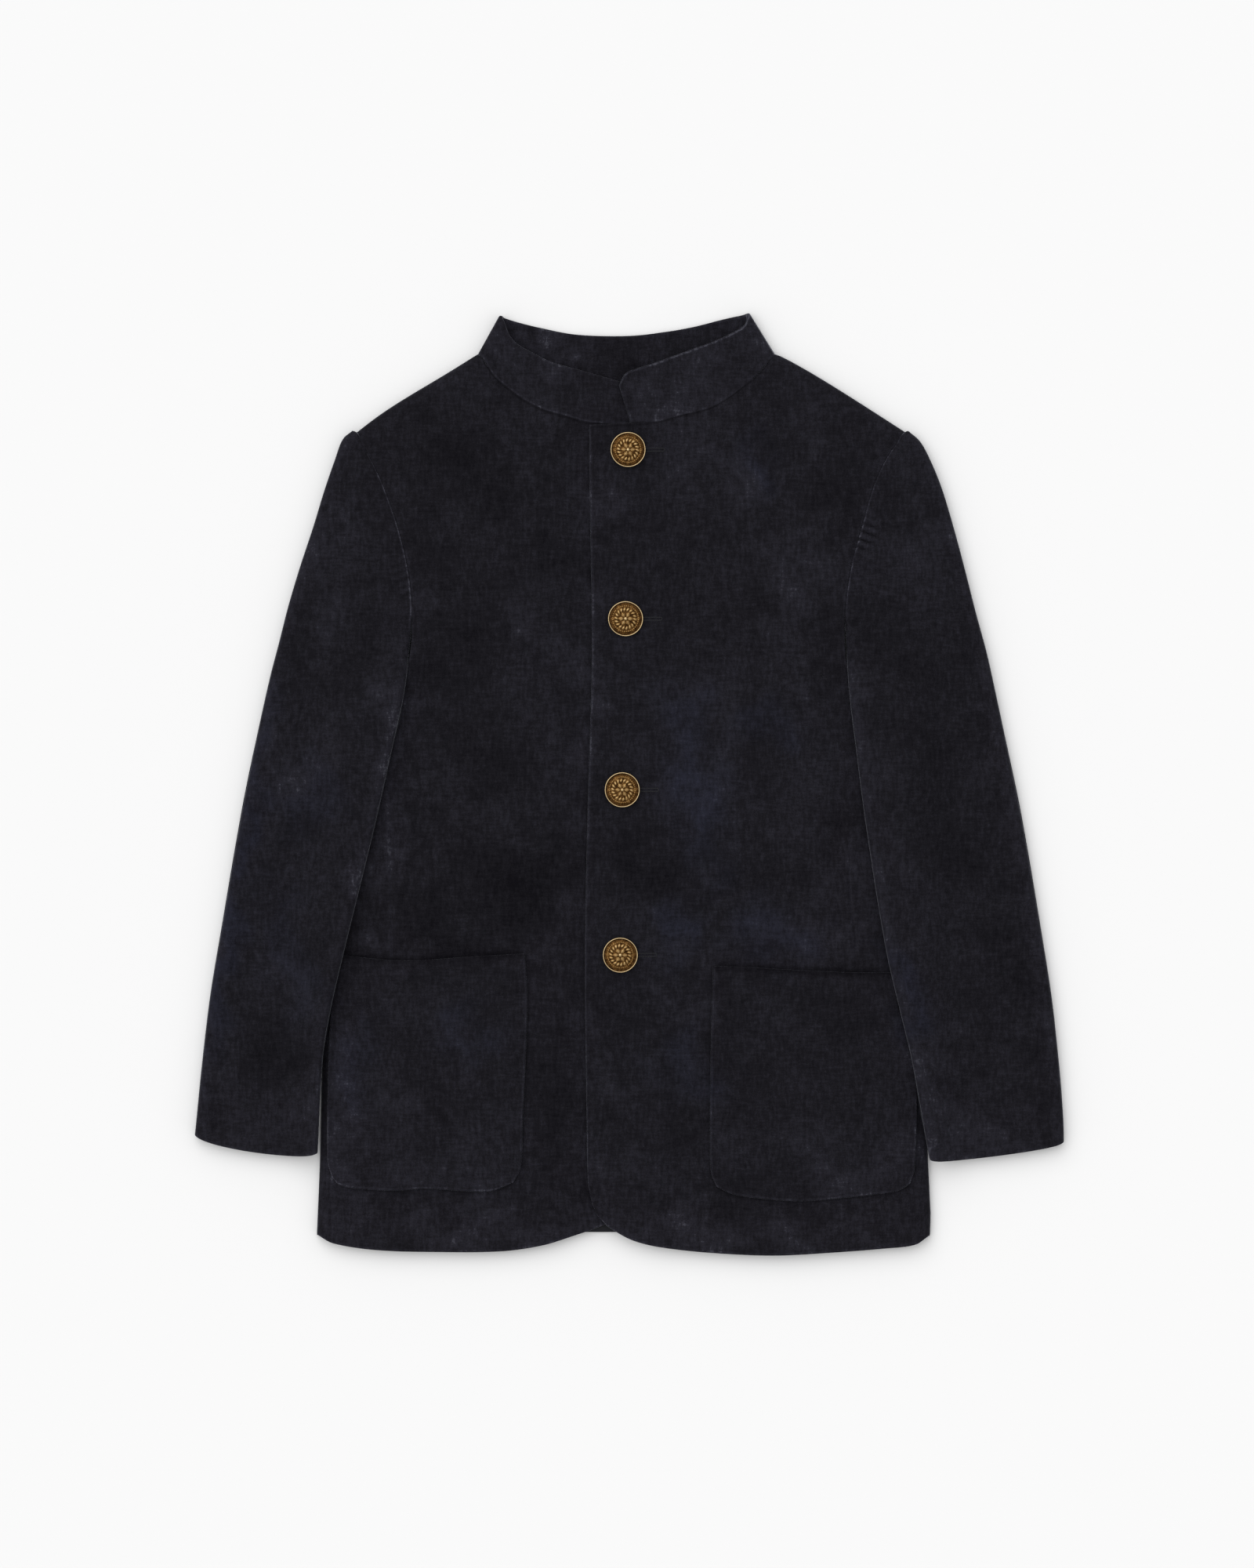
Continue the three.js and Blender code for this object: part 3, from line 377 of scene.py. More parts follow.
def patch(bottom, top, start, end, across, up):
    """A net of x, y between four curves. Each point is the blend of bottom and top, plus the blend of
    start and end, less the blend of the four corners, which both of those hold."""
    b, t = walk(bottom, across)[None], walk(top, across)[None]
    s, e = walk(start, up)[:, None], walk(end, up)[:, None]
    u, v = across[None, :, None], up[:, None, None]
    corners = (1 - u) * ((1 - v) * b[:, :1] + v * t[:, :1]) + u * ((1 - v) * b[:, -1:] + v * t[:, -1:])
    net = (1 - v) * b + v * t + (1 - u) * s + u * e - corners
    return net[..., 0], net[..., 1]


print("smooth side seam has", len(smooth(RIGHT["side"])), "points")

# %% [markdown]
# Next comes how high the cloth lies. A front lies on the back, rolls down to it at the side seam and the
# shoulder, and is lifted a little where the other front is under it. The formulas are those of the
# solids, so each shell lies where its solid does.

# %% How high each layer lies
UNDER_LAP = (-45, -25)  # x over which the right front sinks under the lap
OVER_LAP = (15, 34)  # and over which the left one comes down from it
RIPPLE = 0.4  # height of the shallow waves
CALM_LAP = (36, 60)  # the waves set in this far from the lap
CALM_SLEEVE = (104, 124)  # and die out this far from the middle
LAP_MIDDLE = -6
BELL_ENDS = 0.35  # share of a crease's length over which it swells and dies away
DRIFT = (5.5, 3.0)  # how far the slow and the quick sines push a stroke about
RIGHT["bow"] = (1.45, 1.9)  # the shoulder bows out by this much, and how far toward the sleeve
LEFT["bow"] = (1.6, 0.6)
RAMP_OUT = 24.0
RAMP_IN = 8.0
POCKET_RISE = (-50.0, -88.0)
UPPER_RISE = (84.0, 50.0)
LOWER_RISE = (52.0, 38.0)


def lap_level(x, half):
    """Level of a front across its width: lower under the lap on the right, and higher over it on the
    left."""
    if half is RIGHT:
        return FRONT_LEVEL + (LAP_UNDER_LEVEL - FRONT_LEVEL) * step(*UNDER_LAP, x)
    return FRONT_LEVEL + (LAP_OVER_LEVEL - FRONT_LEVEL) * (1 - step(*OVER_LAP, x))


def outside_side(x, y, half):
    """How far a point lies outside the side seam, negative on the body."""
    return (x_at(half["side"], y) - x) * half["inward"]


def bowed(share, half):
    """How far the shoulder's seam bows out at a share of its length: a sine that leans to one end."""
    size, lean = half["bow"]
    return size * np.sin(math.pi * clamp(share) ** lean)


def inside_shoulder(x, y, half):
    """Distance of a point inside the bowed shoulder line, square to it."""
    (x0, y0), (x1, y1) = half["shoulder"]
    length = math.hypot(x1 - x0, y1 - y0)
    share = ((x - x0) * (x1 - x0) + (y - y0) * (y1 - y0)) / length ** 2
    straight = -(abs(x1 - x0) * (y - y0) - np.sign(x1 - x0) * (y1 - y0) * (x - x0)) / length
    return straight + bowed(share, half)


def ripple(x, y):
    """Shallow waves in the fronts: a sine times a cosine, dying out at the lap and toward the sleeves."""
    reach = step(*CALM_LAP, np.abs(x - LAP_MIDDLE)) * (1 - step(*CALM_SLEEVE, np.abs(x)))
    return RIPPLE * reach * np.sin(y / 31 + x / 23) * np.cos(x / 41 - y / 67)


def bells(x, y, table):
    """Soft ridges and troughs, each on a line from x0, y0 to x1, y1: a bell across the line, of the
    given width and height, which swells from nothing at one end and dies away at the other."""
    total = np.zeros(np.broadcast(x, y).shape)
    for x0, y0, x1, y1, width, height in table:
        length = math.hypot(x1 - x0, y1 - y0)
        ax, ay = (x1 - x0) / length, (y1 - y0) / length
        along = ((x - x0) * ax + (y - y0) * ay) / length
        aside = (y - y0) * ax - (x - x0) * ay
        total += height * bell(aside, width) * step(0, BELL_ENDS, along) * step(1, 1 - BELL_ENDS, along)
    return total


def wandering(x, y):
    """The same places, pushed about by sums of sines, so that what is drawn there gets an uneven edge."""
    slow, quick = DRIFT
    dx = slow * np.sin(y / 9 + 2 * np.sin(x / 13)) + quick * np.sin(x / 3.6 + y / 4.9)
    dy = slow * np.sin(x / 8 + 2 * np.sin(y / 15)) + quick * np.sin(y / 4.1 - x / 5.7)
    return x + dx, y + dy


def front_height(x, y, half):
    """Middle of a front's wall: the level, with its waves, times the rolls at side and shoulder."""
    from_side = -outside_side(x, y, half) - WALL / 2
    from_shoulder = inside_shoulder(x, y, half) - WALL / 2
    level = lap_level(x, half) + ripple(x, y)
    return SEAT_LEVEL + (level - SEAT_LEVEL) * quarter(from_side / CURL) * quarter(from_shoulder / CURL)


def body_lift(x, y, half):
    """How far the body, and the pocket on it, holds a sleeve off the table."""
    lift = BODY_LIFT + POCKET_LIFT * step(*POCKET_RISE, y)
    return lift * step(RAMP_OUT, -RAMP_IN, outside_side(x, y, half))


print("front level at the chest, mm:", round(float(front_height(-80.0, 100.0, RIGHT)), 2))

# %% [markdown]
# Velvet's pile stands up from the cloth. Seen straight on it swallows light, and where the cloth turns
# away from the eye it catches some, so seams and rolled edges draw themselves in lighter lines. That is
# the sheen of the shader. Where a hand has brushed the pile the other way the cloth looks paler and
# bluer, in clouds with streaky edges. Noise of several sizes makes the clouds and the streaks. Three
# values painted on each point of the cloth steer it: nap and blue say where the strokes went, and
# wear_and_painted_light makes edges, seams, folds and crease ridges paler, partly as worn, opened pile and
# partly as painted sheen, and puts painted shade in crease troughs, along the collar's seam and along the
# pocket mouths.

# %% Small helpers for materials
def add_node(tree, kind, **settings):
    """A new node of a kind, with its properties set."""
    made = tree.nodes.new(kind)
    for key, value in settings.items():
        setattr(made, key, value)
    return made


def noise(tree, place, scale, stretch=(1, 1, 1), detail=3.0, roughness=0.55, distortion=0.0):
    """Noise on Object coordinates, in cycles a metre, squeezed or stretched along each axis."""
    mapping = add_node(tree, "ShaderNodeMapping")
    mapping.inputs["Scale"].default_value = stretch
    tree.links.new(place, mapping.inputs["Vector"])
    made = add_node(tree, "ShaderNodeTexNoise")
    made.inputs["Scale"].default_value = scale
    made.inputs["Detail"].default_value = detail
    made.inputs["Roughness"].default_value = roughness
    made.inputs["Distortion"].default_value = distortion
    tree.links.new(mapping.outputs["Vector"], made.inputs["Vector"])
    return made.outputs["Fac"]


def sums(tree, kind, *values):
    """A math node of two or three values, each a socket or a number."""
    made = add_node(tree, "ShaderNodeMath", operation=kind)
    for socket, value in zip(made.inputs, values):
        if isinstance(value, (int, float)):
            socket.default_value = value
        else:
            tree.links.new(value, socket)
    return made.outputs["Value"]


def painted(tree, name):
    """The value of that name which the shell carries at each point."""
    return add_node(tree, "ShaderNodeAttribute", attribute_name=name).outputs["Fac"]


def bumped(tree, shader, height, strength, distance):
    """Shades the surface as if it rose with height, by distance in metres at most."""
    bump = add_node(tree, "ShaderNodeBump")
    bump.inputs["Strength"].default_value = strength
    bump.inputs["Distance"].default_value = distance
    tree.links.new(height, bump.inputs["Height"])
    tree.links.new(bump.outputs["Normal"], shader.inputs["Normal"])


def ramp(tree, value, tones):
    """A colour ramp through tones, each a place and a colour."""
    made = add_node(tree, "ShaderNodeValToRGB")
    elements = made.color_ramp.elements
    while len(elements) < len(tones):
        elements.new(0.5)
    for element, (place, colour) in zip(elements, tones):
        element.position = place
        element.color = (*colour, 1)
    tree.links.new(value, made.inputs["Fac"])
    return made.outputs["Color"]


# %% The velvet
PILE_NOISE = [
    # name, cycles a metre, stretch, detail, roughness, distortion, weight
    ("cloud", 15.0, (1, 0.8, 1), 8, 0.68, 0.9, 0.6),
    ("blotch", 62.0, (1, 1, 1), 7, 0.72, 0.8, 0.6),
    ("warp", 560.0, (1, 0.3, 1), 2, 0.55, 0.0, 0.7),
    ("weft", 560.0, (0.26, 1.2, 1), 2, 0.55, 0.0, 0.5),
    ("grain", 1300.0, (1, 1, 1), 2, 0.7, 0.0, 0.66),
]
PILE_LEVEL = 0.45
PILE_TONES = [
    # place on the ramp, colour: deep, middle, brushed, and worn pile with painted sheen
    (0.05, (0.0034, 0.0030, 0.0046)),
    (0.42, (0.0086, 0.0080, 0.0108)),
    (0.80, (0.0185, 0.0178, 0.0245)),
    (1.0, (0.0520, 0.0520, 0.0660)),
]
PILE_BLUE = (0.0165, 0.0195, 0.0380)
NAP_BROKEN = (1.6, 0.2)  # the painted strokes are multiplied by this much of the blotches, plus this
NAP_MOST = 0.17
PILE_RELIEF = 0.6  # share of the streaks and the grain that goes into the bump
PILE_BUMP = 0.00035
SHEEN_TINT = (0.85, 0.87, 1.0, 1)


def velvet():
    """Each noise, less a half and times its weight, is added to the pile's level. The nap, broken up by
    the blotches and held under its most, and the worn edges with their painted sheen and painted shade are
    added too, and a ramp turns the sum into the pile's colour. Blue tints it where it is pale. The streaks
    and the grain also raise a fine bump."""
    paint, tree, shader = new_paint(
        "velvet", Roughness=0.85, Specular_IOR_Level=0.06,
        Sheen_Weight=0.3, Sheen_Roughness=0.3, Sheen_Tint=SHEEN_TINT,
    )
    place = add_node(tree, "ShaderNodeTexCoord").outputs["Object"]
    total, layer = PILE_LEVEL, {}
    for name, *settings, weight in PILE_NOISE:
        layer[name] = noise(tree, place, *settings)
        total = sums(tree, "MULTIPLY_ADD", sums(tree, "SUBTRACT", layer[name], 0.5), weight, total)
    broken = sums(tree, "MULTIPLY_ADD", layer["blotch"], *NAP_BROKEN)
    nap = sums(tree, "MINIMUM", sums(tree, "MULTIPLY", painted(tree, "nap"), broken), NAP_MOST)
    total = sums(tree, "ADD", total, sums(tree, "ADD", nap, painted(tree, "wear_and_painted_light")))
    blue = sums(tree, "MULTIPLY", sums(tree, "MULTIPLY", painted(tree, "blue"), broken), total)
    tint = add_node(tree, "ShaderNodeMix", data_type="RGBA")
    under, over = (socket for socket in tint.inputs if socket.type == "RGBA")
    tree.links.new(blue, tint.inputs["Factor"])
    tree.links.new(ramp(tree, total, PILE_TONES), under)
    over.default_value = (*PILE_BLUE, 1)
    mixed = next(socket for socket in tint.outputs if socket.type == "RGBA")
    tree.links.new(mixed, shader.inputs["Base Color"])
    height = sums(tree, "MULTIPLY", sums(tree, "ADD", layer["warp"], layer["grain"]), PILE_RELIEF)
    bumped(tree, shader, height, 0.6, PILE_BUMP)
    return paint


VELVET = velvet()
print("velvet nodes:", len(VELVET.node_tree.nodes))

# %% [markdown]
# Inside, a blazer of this kind is lined with a thin dark twill. Only a sliver of it shows at the hem and
# the cuffs. A fine diagonal wave stands for the twill, and it's a little glossier than the pile.

# %% The lining
LINING_DARK = (0.0030, 0.0030, 0.0052)
LINING_PALE = (0.0075, 0.0078, 0.0125)
TWILL_SCALE = 900.0
TWILL_BUMP = 0.0001


def lining():
    """A wave across the Object coordinates, with a little noise, mixes two dark blues."""
    paint, tree, shader = new_paint("lining", Roughness=0.5, Specular_IOR_Level=0.2)
    wave = add_node(tree, "ShaderNodeTexWave", bands_direction="DIAGONAL")
    wave.inputs["Scale"].default_value = TWILL_SCALE
    wave.inputs["Distortion"].default_value = 1.5
    tree.links.new(add_node(tree, "ShaderNodeTexCoord").outputs["Object"], wave.inputs["Vector"])
    colour = ramp(tree, wave.outputs["Fac"], [(0.2, LINING_DARK), (0.9, LINING_PALE)])
    tree.links.new(colour, shader.inputs["Base Color"])
    bumped(tree, shader, wave.outputs["Fac"], 0.3, TWILL_BUMP)
    return paint


LINING = lining()
print("lining nodes:", len(LINING.node_tree.nodes))

# %% [markdown]
# A panel of cloth could be a flat plane with the Solidify modifier, but then all its edges would be cut
# square. Here the net of middle points is moved out both ways by half the cloth's thickness, and that
# half thickness shrinks along a quarter circle near an edge, so hems and seams come out rounded, as
# turned cloth is. The same function serves every panel.

# %% Turning a net into a shell of cloth
def normals(net):
    """Unit direction across a net, from the differences of its neighbours along rows and columns."""
    across = np.cross(np.gradient(net, axis=0), np.gradient(net, axis=1))
    return across / (np.linalg.norm(across, axis=-1, keepdims=True) + 1e-12)


def from_border(net):
    """Distance of each point from the bottom, top, start and end of its net, along the net's own
    lines."""
    up = np.linalg.norm(np.diff(net, axis=0), axis=-1)
    right = np.linalg.norm(np.diff(net, axis=1), axis=-1)
    up = np.vstack([np.zeros((1, net.shape[1])), np.cumsum(up, axis=0)])
    right = np.hstack([np.zeros((net.shape[0], 1)), np.cumsum(right, axis=1)])
    return up, up[-1] - up, right, right[:, -1:] - right


def net_faces(rows, columns):
    """Four-cornered faces of a net, as numbers of its points, row by row."""
    corner = np.arange(rows - 1)[:, None] * columns + np.arange(columns - 1)[None]
    return np.stack([corner, corner + 1, corner + columns + 1, corner + columns], axis=-1).reshape(-1, 4)


def ring_faces(rings, sides, closed=False):
    """Faces of a row of rings, each joined to the next, and the last to the first if it is closed."""
    i = np.arange(rings if closed else rings - 1)[:, None]
    k = np.arange(sides)[None]
    ring, side = (i + 1) % rings, (k + 1) % sides
    corners = ((i, k), (ring, k), (ring, side), (i, side))
    return np.stack([(a * sides + b).ravel() for a, b in corners], axis=-1)


def make_object(name, points, faces, paints, paint_of_face=None, values=None):
    """A mesh object at the origin from points in millimetres. Its faces are turned round if its volume,
    the sum of the tetrahedra from the origin to each triangle, comes out negative."""
    points = np.asarray(points, float)
    quads = np.asarray(faces)
    a, b, c, d = (points[quads[:, k]] for k in range(4))
    volume = np.einsum("ij,ij->", a, np.cross(b, c)) + np.einsum("ij,ij->", a, np.cross(c, d))
    if volume < 0:
        quads = quads[:, ::-1]
    lists = [list(dict.fromkeys(face)) for face in quads.tolist()]
    mesh = bpy.data.meshes.new(name)
    mesh.from_pydata((points * MM).tolist(), [], lists)
    for paint in paints:
        mesh.materials.append(paint)
    if paint_of_face is not None:
        mesh.polygons.foreach_set("material_index", np.asarray(paint_of_face, np.int32))
    for key, array in (values or {}).items():
        at_points = mesh.attributes.new(key, "FLOAT", "POINT")
        at_points.data.foreach_set("value", np.asarray(array, np.float32).ravel())
    mesh.polygons.foreach_set("use_smooth", np.ones(len(mesh.polygons), bool))
    mesh.update()
    made = bpy.data.objects.new(name, mesh)
    scene.collection.objects.link(made)
    print(name, len(points), "points,", len(lists), "faces")
    return made


def shell(name, net, half, outside, inside, wear_and_painted_light=0.0):
    """A closed shell about a net: one layer half a wall above it, one below, and a strip round the
    border. outside is the paint of the upper layer and the border, and inside that of the lower layer.
    Nap and blue come from the strokes, and wear_and_painted_light is how much paler its edges, folds and
    crease ridges are, partly worn pile and partly painted sheen, and how much darker where shade is
    painted."""
    rows, columns = net.shape[:2]
    out = normals(net) * np.broadcast_to(half, (rows, columns))[..., None]
    if out[rows // 2, columns // 2, 2] < 0:
        out = -out
    points = np.vstack([(net + out).reshape(-1, 3), (net - out).reshape(-1, 3)])
    upper = net_faces(rows, columns)
    below = rows * columns
    rim = np.concatenate([
        np.arange(columns),
        np.arange(1, rows) * columns + columns - 1,
        (rows - 1) * columns + np.arange(columns - 2, -1, -1),
        np.arange(rows - 2, 0, -1) * columns,
    ])
    after = np.roll(rim, -1)
    strip = np.stack([after, rim, rim + below, after + below], axis=-1)
    faces = np.vstack([upper, upper[:, ::-1] + below, strip])
    paint_of_face = np.zeros(len(faces), int)
    paint_of_face[len(upper):2 * len(upper)] = 1
    place = wandering(net[..., 0], net[..., 1])
    painted = {
        "nap": STROKE_LIMIT * np.tanh(bells(*place, STROKES) / STROKE_LIMIT),
        "blue": clamp(bells(*place, BLUE_STROKES)),
        "wear_and_painted_light": np.broadcast_to(wear_and_painted_light, (rows, columns)),
    }
    values = {key: np.concatenate([value.ravel()] * 2) for key, value in painted.items()}
    return make_object(name, points, faces, [outside, inside], paint_of_face, values)


ROLL = [0.0, 0.06, 0.22, 0.48, 0.82, 1.25, 1.8, 2.6, 3.6]  # closer steps at a turned edge
CURL_ROLL = [*ROLL, 4.7, 5.8, 7.0]
SEAM_FLOOR = 0.62  # share of the wall's thickness left at a sewn edge
SEAM_ROLL = 0.8


def stops(count, length, first, last):
    """Shares from 0 to 1: the first distances, then even steps, then the last distances back from the
    end."""
    start, end = first[-1] / length, 1 - last[-1] / length
    even = np.linspace(start, end, count + 1)[1:-1]
    return np.concatenate([np.array(first) / length, even, 1 - np.array(last[::-1]) / length])


def turned(distance, radius, floor=0.02, amount=1.0):
    """Share of the wall's thickness near an edge: a quarter circle that starts at a floor. An amount of
    0 leaves the edge square."""
    return 1 - amount * (1 - floor) * (1 - quarter(distance / radius))


# %% [markdown]
# The brush strokes on the pile are listed as long soft bells in plan: where each starts and ends,
# how wide it is, and how much paler or darker it makes the cloth. Pieces that lie next to each other
# share them, which is what a hand passed over a finished jacket does.

# %% Strokes on the pile
STROKES = [
    # x0, y0, x1, y1, width, how much paler; first the pale strokes, then the dark ones
    (-80, 98, -10, 62, 12, 0.18),
    (-20, 175, -8, 140, 12, 0.14),
    (5, 218, 80, 160, 19, 0.26),
    (50, 185, 118, 85, 19, 0.21),
    (85, 112, 104, 30, 13, 0.16),
    (22, 75, 44, -45, 12, 0.17),
    (8, -80, 46, -88, 11, 0.18),
    (52, -72, 112, -98, 11, 0.12),
    (110, 100, 130, 15, 8, 0.14),
    (-8, 228, 30, 222, 8, 0.16),
    (-172, -205, -142, -255, 8, 0.22),
    (-128, -18, -122, -80, 6, 0.14),
    (-190, 65, -210, -75, 9, 0.10),
    (-200, -70, -180, -145, 14, 0.10),
    (-130, 75, -134, -10, 7, 0.22),
    (-134, 10, -136, -80, 4, 0.12),
    (-138, 0, -160, -110, 5, 0.20),
    (-98, -130, -74, -160, 10, 0.12),
    (-160, -212, -60, -224, 9, 0.12),
    (-158, -110, -162, -240, 10, 0.14),
    (-140, -150, -120, -232, 10, 0.14),
    (8, -112, 55, -140, 11, 0.14),
    (20, -140, 50, -190, 12, 0.16),
    (-22, -110, -26, -240, 10, 0.16),
    (150, -203, 242, -198, 9, 0.34),
    (160, -130, 186, -212, 10, 0.24),
    (-180, 155, -165, 70, 11, 0.14),
    (95, -228, 165, -212, 10, 0.18),
    (160, 165, 182, 125, 8, 0.16),
    (-225, -252, 225, -256, 8, 0.18),
    (-22, 110, -20, -20, 7, 0.16),
    (-75, 248, -20, 252, 9, 0.10),
    (-228, -120, -222, -190, 8, 0.16),
    (127, -20, 132, -80, 7, 0.14),
    (-125, 200, -65, 150, 22, -0.16),
    (-56, 142, -20, 116, 9, -0.2),
    (-112, 110, -80, -10, 20, -0.13),
    (-70, 50, -48, 0, 13, -0.16),
    (-16, -26, -84, -92, 9, -0.26),
    (-140, -58, -90, -75, 9, -0.18),
    (-15, -42, 48, -58, 12, -0.22),
    (150, 120, 218, -110, 26, -0.10),
    (190, -40, 225, -130, 15, -0.14),
    (-238, -150, -165, -160, 11, -0.24),
    (85, -118, 155, -142, 14, -0.16),
    # painted shadow above the mouth of the right pocket
    (-182, -90, -42, -88, 6, -0.14),
    (-78, -160, -74, -190, 6, -0.14),
    (122, -5, 90, -62, 12, -0.20),
    (112, 205, 128, 140, 11, -0.13),
    (-16, 246, 16, 236, 7, -0.2),
    (75, -165, 92, -195, 9, -0.08),
    (40, -232, 75, -240, 8, -0.12),
    (-115, 12, -32, -4, 11, -0.16),
    (48, 0, 55, -60, 9, -0.08),
]
BLUE_STROKES = [
    # the same, and how much bluer
    (24, 75, 50, -70, 14, 0.4),
    (8, -80, 48, -88, 12, 0.45),
    (52, -72, 112, -98, 12, 0.35),
    (15, -135, 50, -185, 12, 0.3),
    (-160, 10, -205, -30, 15, 0.25),
    (-205, -40, -180, -145, 12, 0.22),
    (-200, 90, -246, -200, 7, 0.4),
    (-110, -125, -70, -160, 12, 0.25),
    (60, 200, 85, 165, 9, 0.35),
    (60, 50, 95, 20, 12, 0.3),
    (150, -80, 165, -150, 8, 0.4),
    (-150, -120, -160, -200, 9, 0.2),
]
STROKE_LIMIT = 0.22  # strokes that cross never add up to more than this
WEAR_AND_SHEEN_MIDDLE = 0.8  # the worn pile and its painted sheen lie this far from a turned edge
WEAR_AND_SHEEN_REACH = 0.55
# Crease ridges: partly opened pile, partly painted sheen. Crease troughs: painted shade.
CREASE_OPENED_AND_SHADED = 0.16  # paler for each millimetre a crease rises, darker for each it sinks


def rub(distance, strength):
    """How much paler an edge is: a narrow bell beside the edge, partly pile that opens over the turn and
    partly painted sheen.
    """
    return strength * bell(distance - WEAR_AND_SHEEN_MIDDLE, WEAR_AND_SHEEN_REACH)


def line_wear_and_painted_light(distance, strength, reach):
    """How much paler the pile is on a sewn line: a bell on the line itself, partly pressed-open pile and
    partly painted sheen. A negative strength paints shade instead.
    """
    return strength * bell(distance, reach)


print("nap at the chest:", round(float(bells(-50.0, 90.0, STROKES)), 3))

# %% [markdown]
# The back panel is the layer that the jacket lies on, so it's flat. Its inside faces up, lined, and shows
# only as a dark sliver between the rounded corners of the two fronts.

# %% The back
BACK_ROWS = 120
BACK_COLUMNS = 70
BACK_LENGTH = 495
BACK_WIDTH = 348


def back_panel():
    """A patch between the hem, the neck with the shoulders, and the two side seams with their
    armholes."""
    def up(half):
        armhole = [half["side"][-1], *half["back_armhole"], half["shoulder"][1]]
        return np.vstack([smooth(half["side"]), smooth(armhole)[1:]])

    hem = smooth([RIGHT["side"][0], *HEM_BACK, LEFT["side"][0]])
    top = np.vstack([[RIGHT["shoulder"][1]], smooth(NECK_BACK), [LEFT["shoulder"][1]]])
    across = stops(BACK_COLUMNS, BACK_WIDTH, ROLL, ROLL)
    x, y = patch(hem, top, up(RIGHT), up(LEFT), across, stops(BACK_ROWS, BACK_LENGTH, ROLL, ROLL))
    net = np.stack([x, y, np.full_like(x, TABLE_LEVEL)], axis=-1)
    bottom, _, start, end = from_border(net)
    half = WALL / 2 * np.minimum.reduce([turned(d, WALL / 2) for d in (bottom, start, end)])
    return shell("back_panel", net, half, LINING, VELVET)


back = back_panel()

# %% [markdown]
# Each front starts at the rounded corner of its hem, runs up the buttoning edge to the neck, and rolls
# over at the side and the shoulder to meet the back. A dart takes in the waist above each pocket: a sewn
# pinch, which shows as a narrow valley that fades out upward. The cloth also has soft creases of its own,
# listed one by one.

# %% The fronts
FRONT_ROWS = 215
FRONT_COLUMNS = 74
FRONT_LENGTH = 470
FRONT_WIDTH = 185
DART_SHARE = (0.76, 0.84)  # the columns are closer here, where the dart runs
DART_COLUMNS = 44
DART_WIDTH = 0.9
DART_DEPTH = 0.7
VALLEY = 1.2  # share of the depth at the sewn line
SWELL = 0.45  # and of the swell on each side, which is this many times as wide
SWELL_WIDTH = 3.2
VALLEY_FADE = 0.35  # share of the length over which the valley sets in
LAP_QUIET = (-34.0, -22.0)  # the creases are shallower within this of the lap
LAP_CALM = 0.6  # by this share
EDGE_SWELL = 0.3  # the folded facing makes the buttoning edge a little thicker
EDGE_RISE = (0, 2.5)  # distances from the edge over which that swell comes
EDGE_FALL = (4, 11)  # and goes
AT_ARMHOLE = (47, 56)  # y over which the side becomes the armhole
AT_NECK = (84, 80)  # distance from the middle over which the shoulder becomes the neck
# Paler pile along turned edges: partly worn pile, partly painted sheen.
HEM_WEAR_AND_SHEEN = 0.2
EDGE_WEAR_AND_SHEEN = 0.3
ARMHOLE_WEAR_AND_SHEEN = 0.1
RIGHT["dart"] = [(-137.6, 0.7), (-135.9, -38.0), (-135.0, -73.5), (-134.5, -97.0)]
LEFT["dart"] = [(125.2, -17.1), (124.8, -60.2), (127.9, -87.2), (127.9, -103.7)]
# Paler line over each dart: partly pressed-open pile, partly painted sheen.
RIGHT["dart_rub"] = 0.24
LEFT["dart_rub"] = 0.12
DART_REACH = 1.5  # the dart's pale line reaches this far on each side
NECK_SHADE = 0.26  # painted shade on the front along the collar's seam
NECK_FOOT = (1.5, 0.8)  # how far from the seam, and over what width
MOUTH_SHADE = 0.3  # and painted shadow on it along the mouth of its pocket
MOUTH_REACH = 1.5
RIGHT["creases"] = [
    (-120, 150, -60, 40, 14, -0.8),
    (-105, 175, -70, 110, 12, 0.5),
    (-75, 60, -30, 10, 10, 0.5),
    (-110, -20, -30, -80, 12, -0.7),
    (-118, 20, -60, -40, 13, 0.4),
    (-60, -60, -16, -75, 6, 0.5),
    (-85, -75, -20, -88, 5, -0.5),
    (-45, -120, -40, -235, 12, -0.5),
    (-120, 60, -128, -20, 8, -0.5),
    (-75, 205, -100, 175, 9, -0.5),
    (-150, -232, -60, -236, 5, -0.3),
]
LEFT["creases"] = [
    (110, 185, 60, 120, 14, -0.6),
    (120, 120, 105, 20, 12, -0.6),
    (60, 90, 50, -60, 13, 0.7),
    (90, 60, 110, -90, 12, 0.5),
    (10, -40, 45, -95, 11, -0.7),
    (60, -70, 150, -98, 7, 0.6),
    (-15, 60, 30, 80, 7, -0.4),
    (-15, -30, 30, -22, 6, -0.4),
    (22, -120, 28, -230, 12, -0.5),
    (70, 205, 100, 178, 9, -0.5),
    (60, -240, 150, -242, 5, -0.3),
]


def pinched(x, y, line, width, depth):
    """A valley along a line that runs one way in y: deepest at the line, with a small swell on each
    side, and fading in over the first third of the line."""
    rows = smooth(line)
    aside = np.abs(x - x_at(rows, y))
    low, high = rows[:, 1].min(), rows[:, 1].max()
    inside = step(high, mix(high, low, VALLEY_FADE), y) * step(low - 2.5, low + 0.5, y)
    return depth * inside * (SWELL * bell(aside, SWELL_WIDTH * width) - VALLEY * bell(aside, width))


def beside(x, y, line):
    """Distance beside a sewn line, measured in x, and large beyond its ends."""
    rows = smooth(line)
    low, high = rows[:, 1].min(), rows[:, 1].max()
    return np.abs(x - x_at(rows, y)) + 10 * (1 - step(high, high - 6, y) * step(low - 3, low, y))


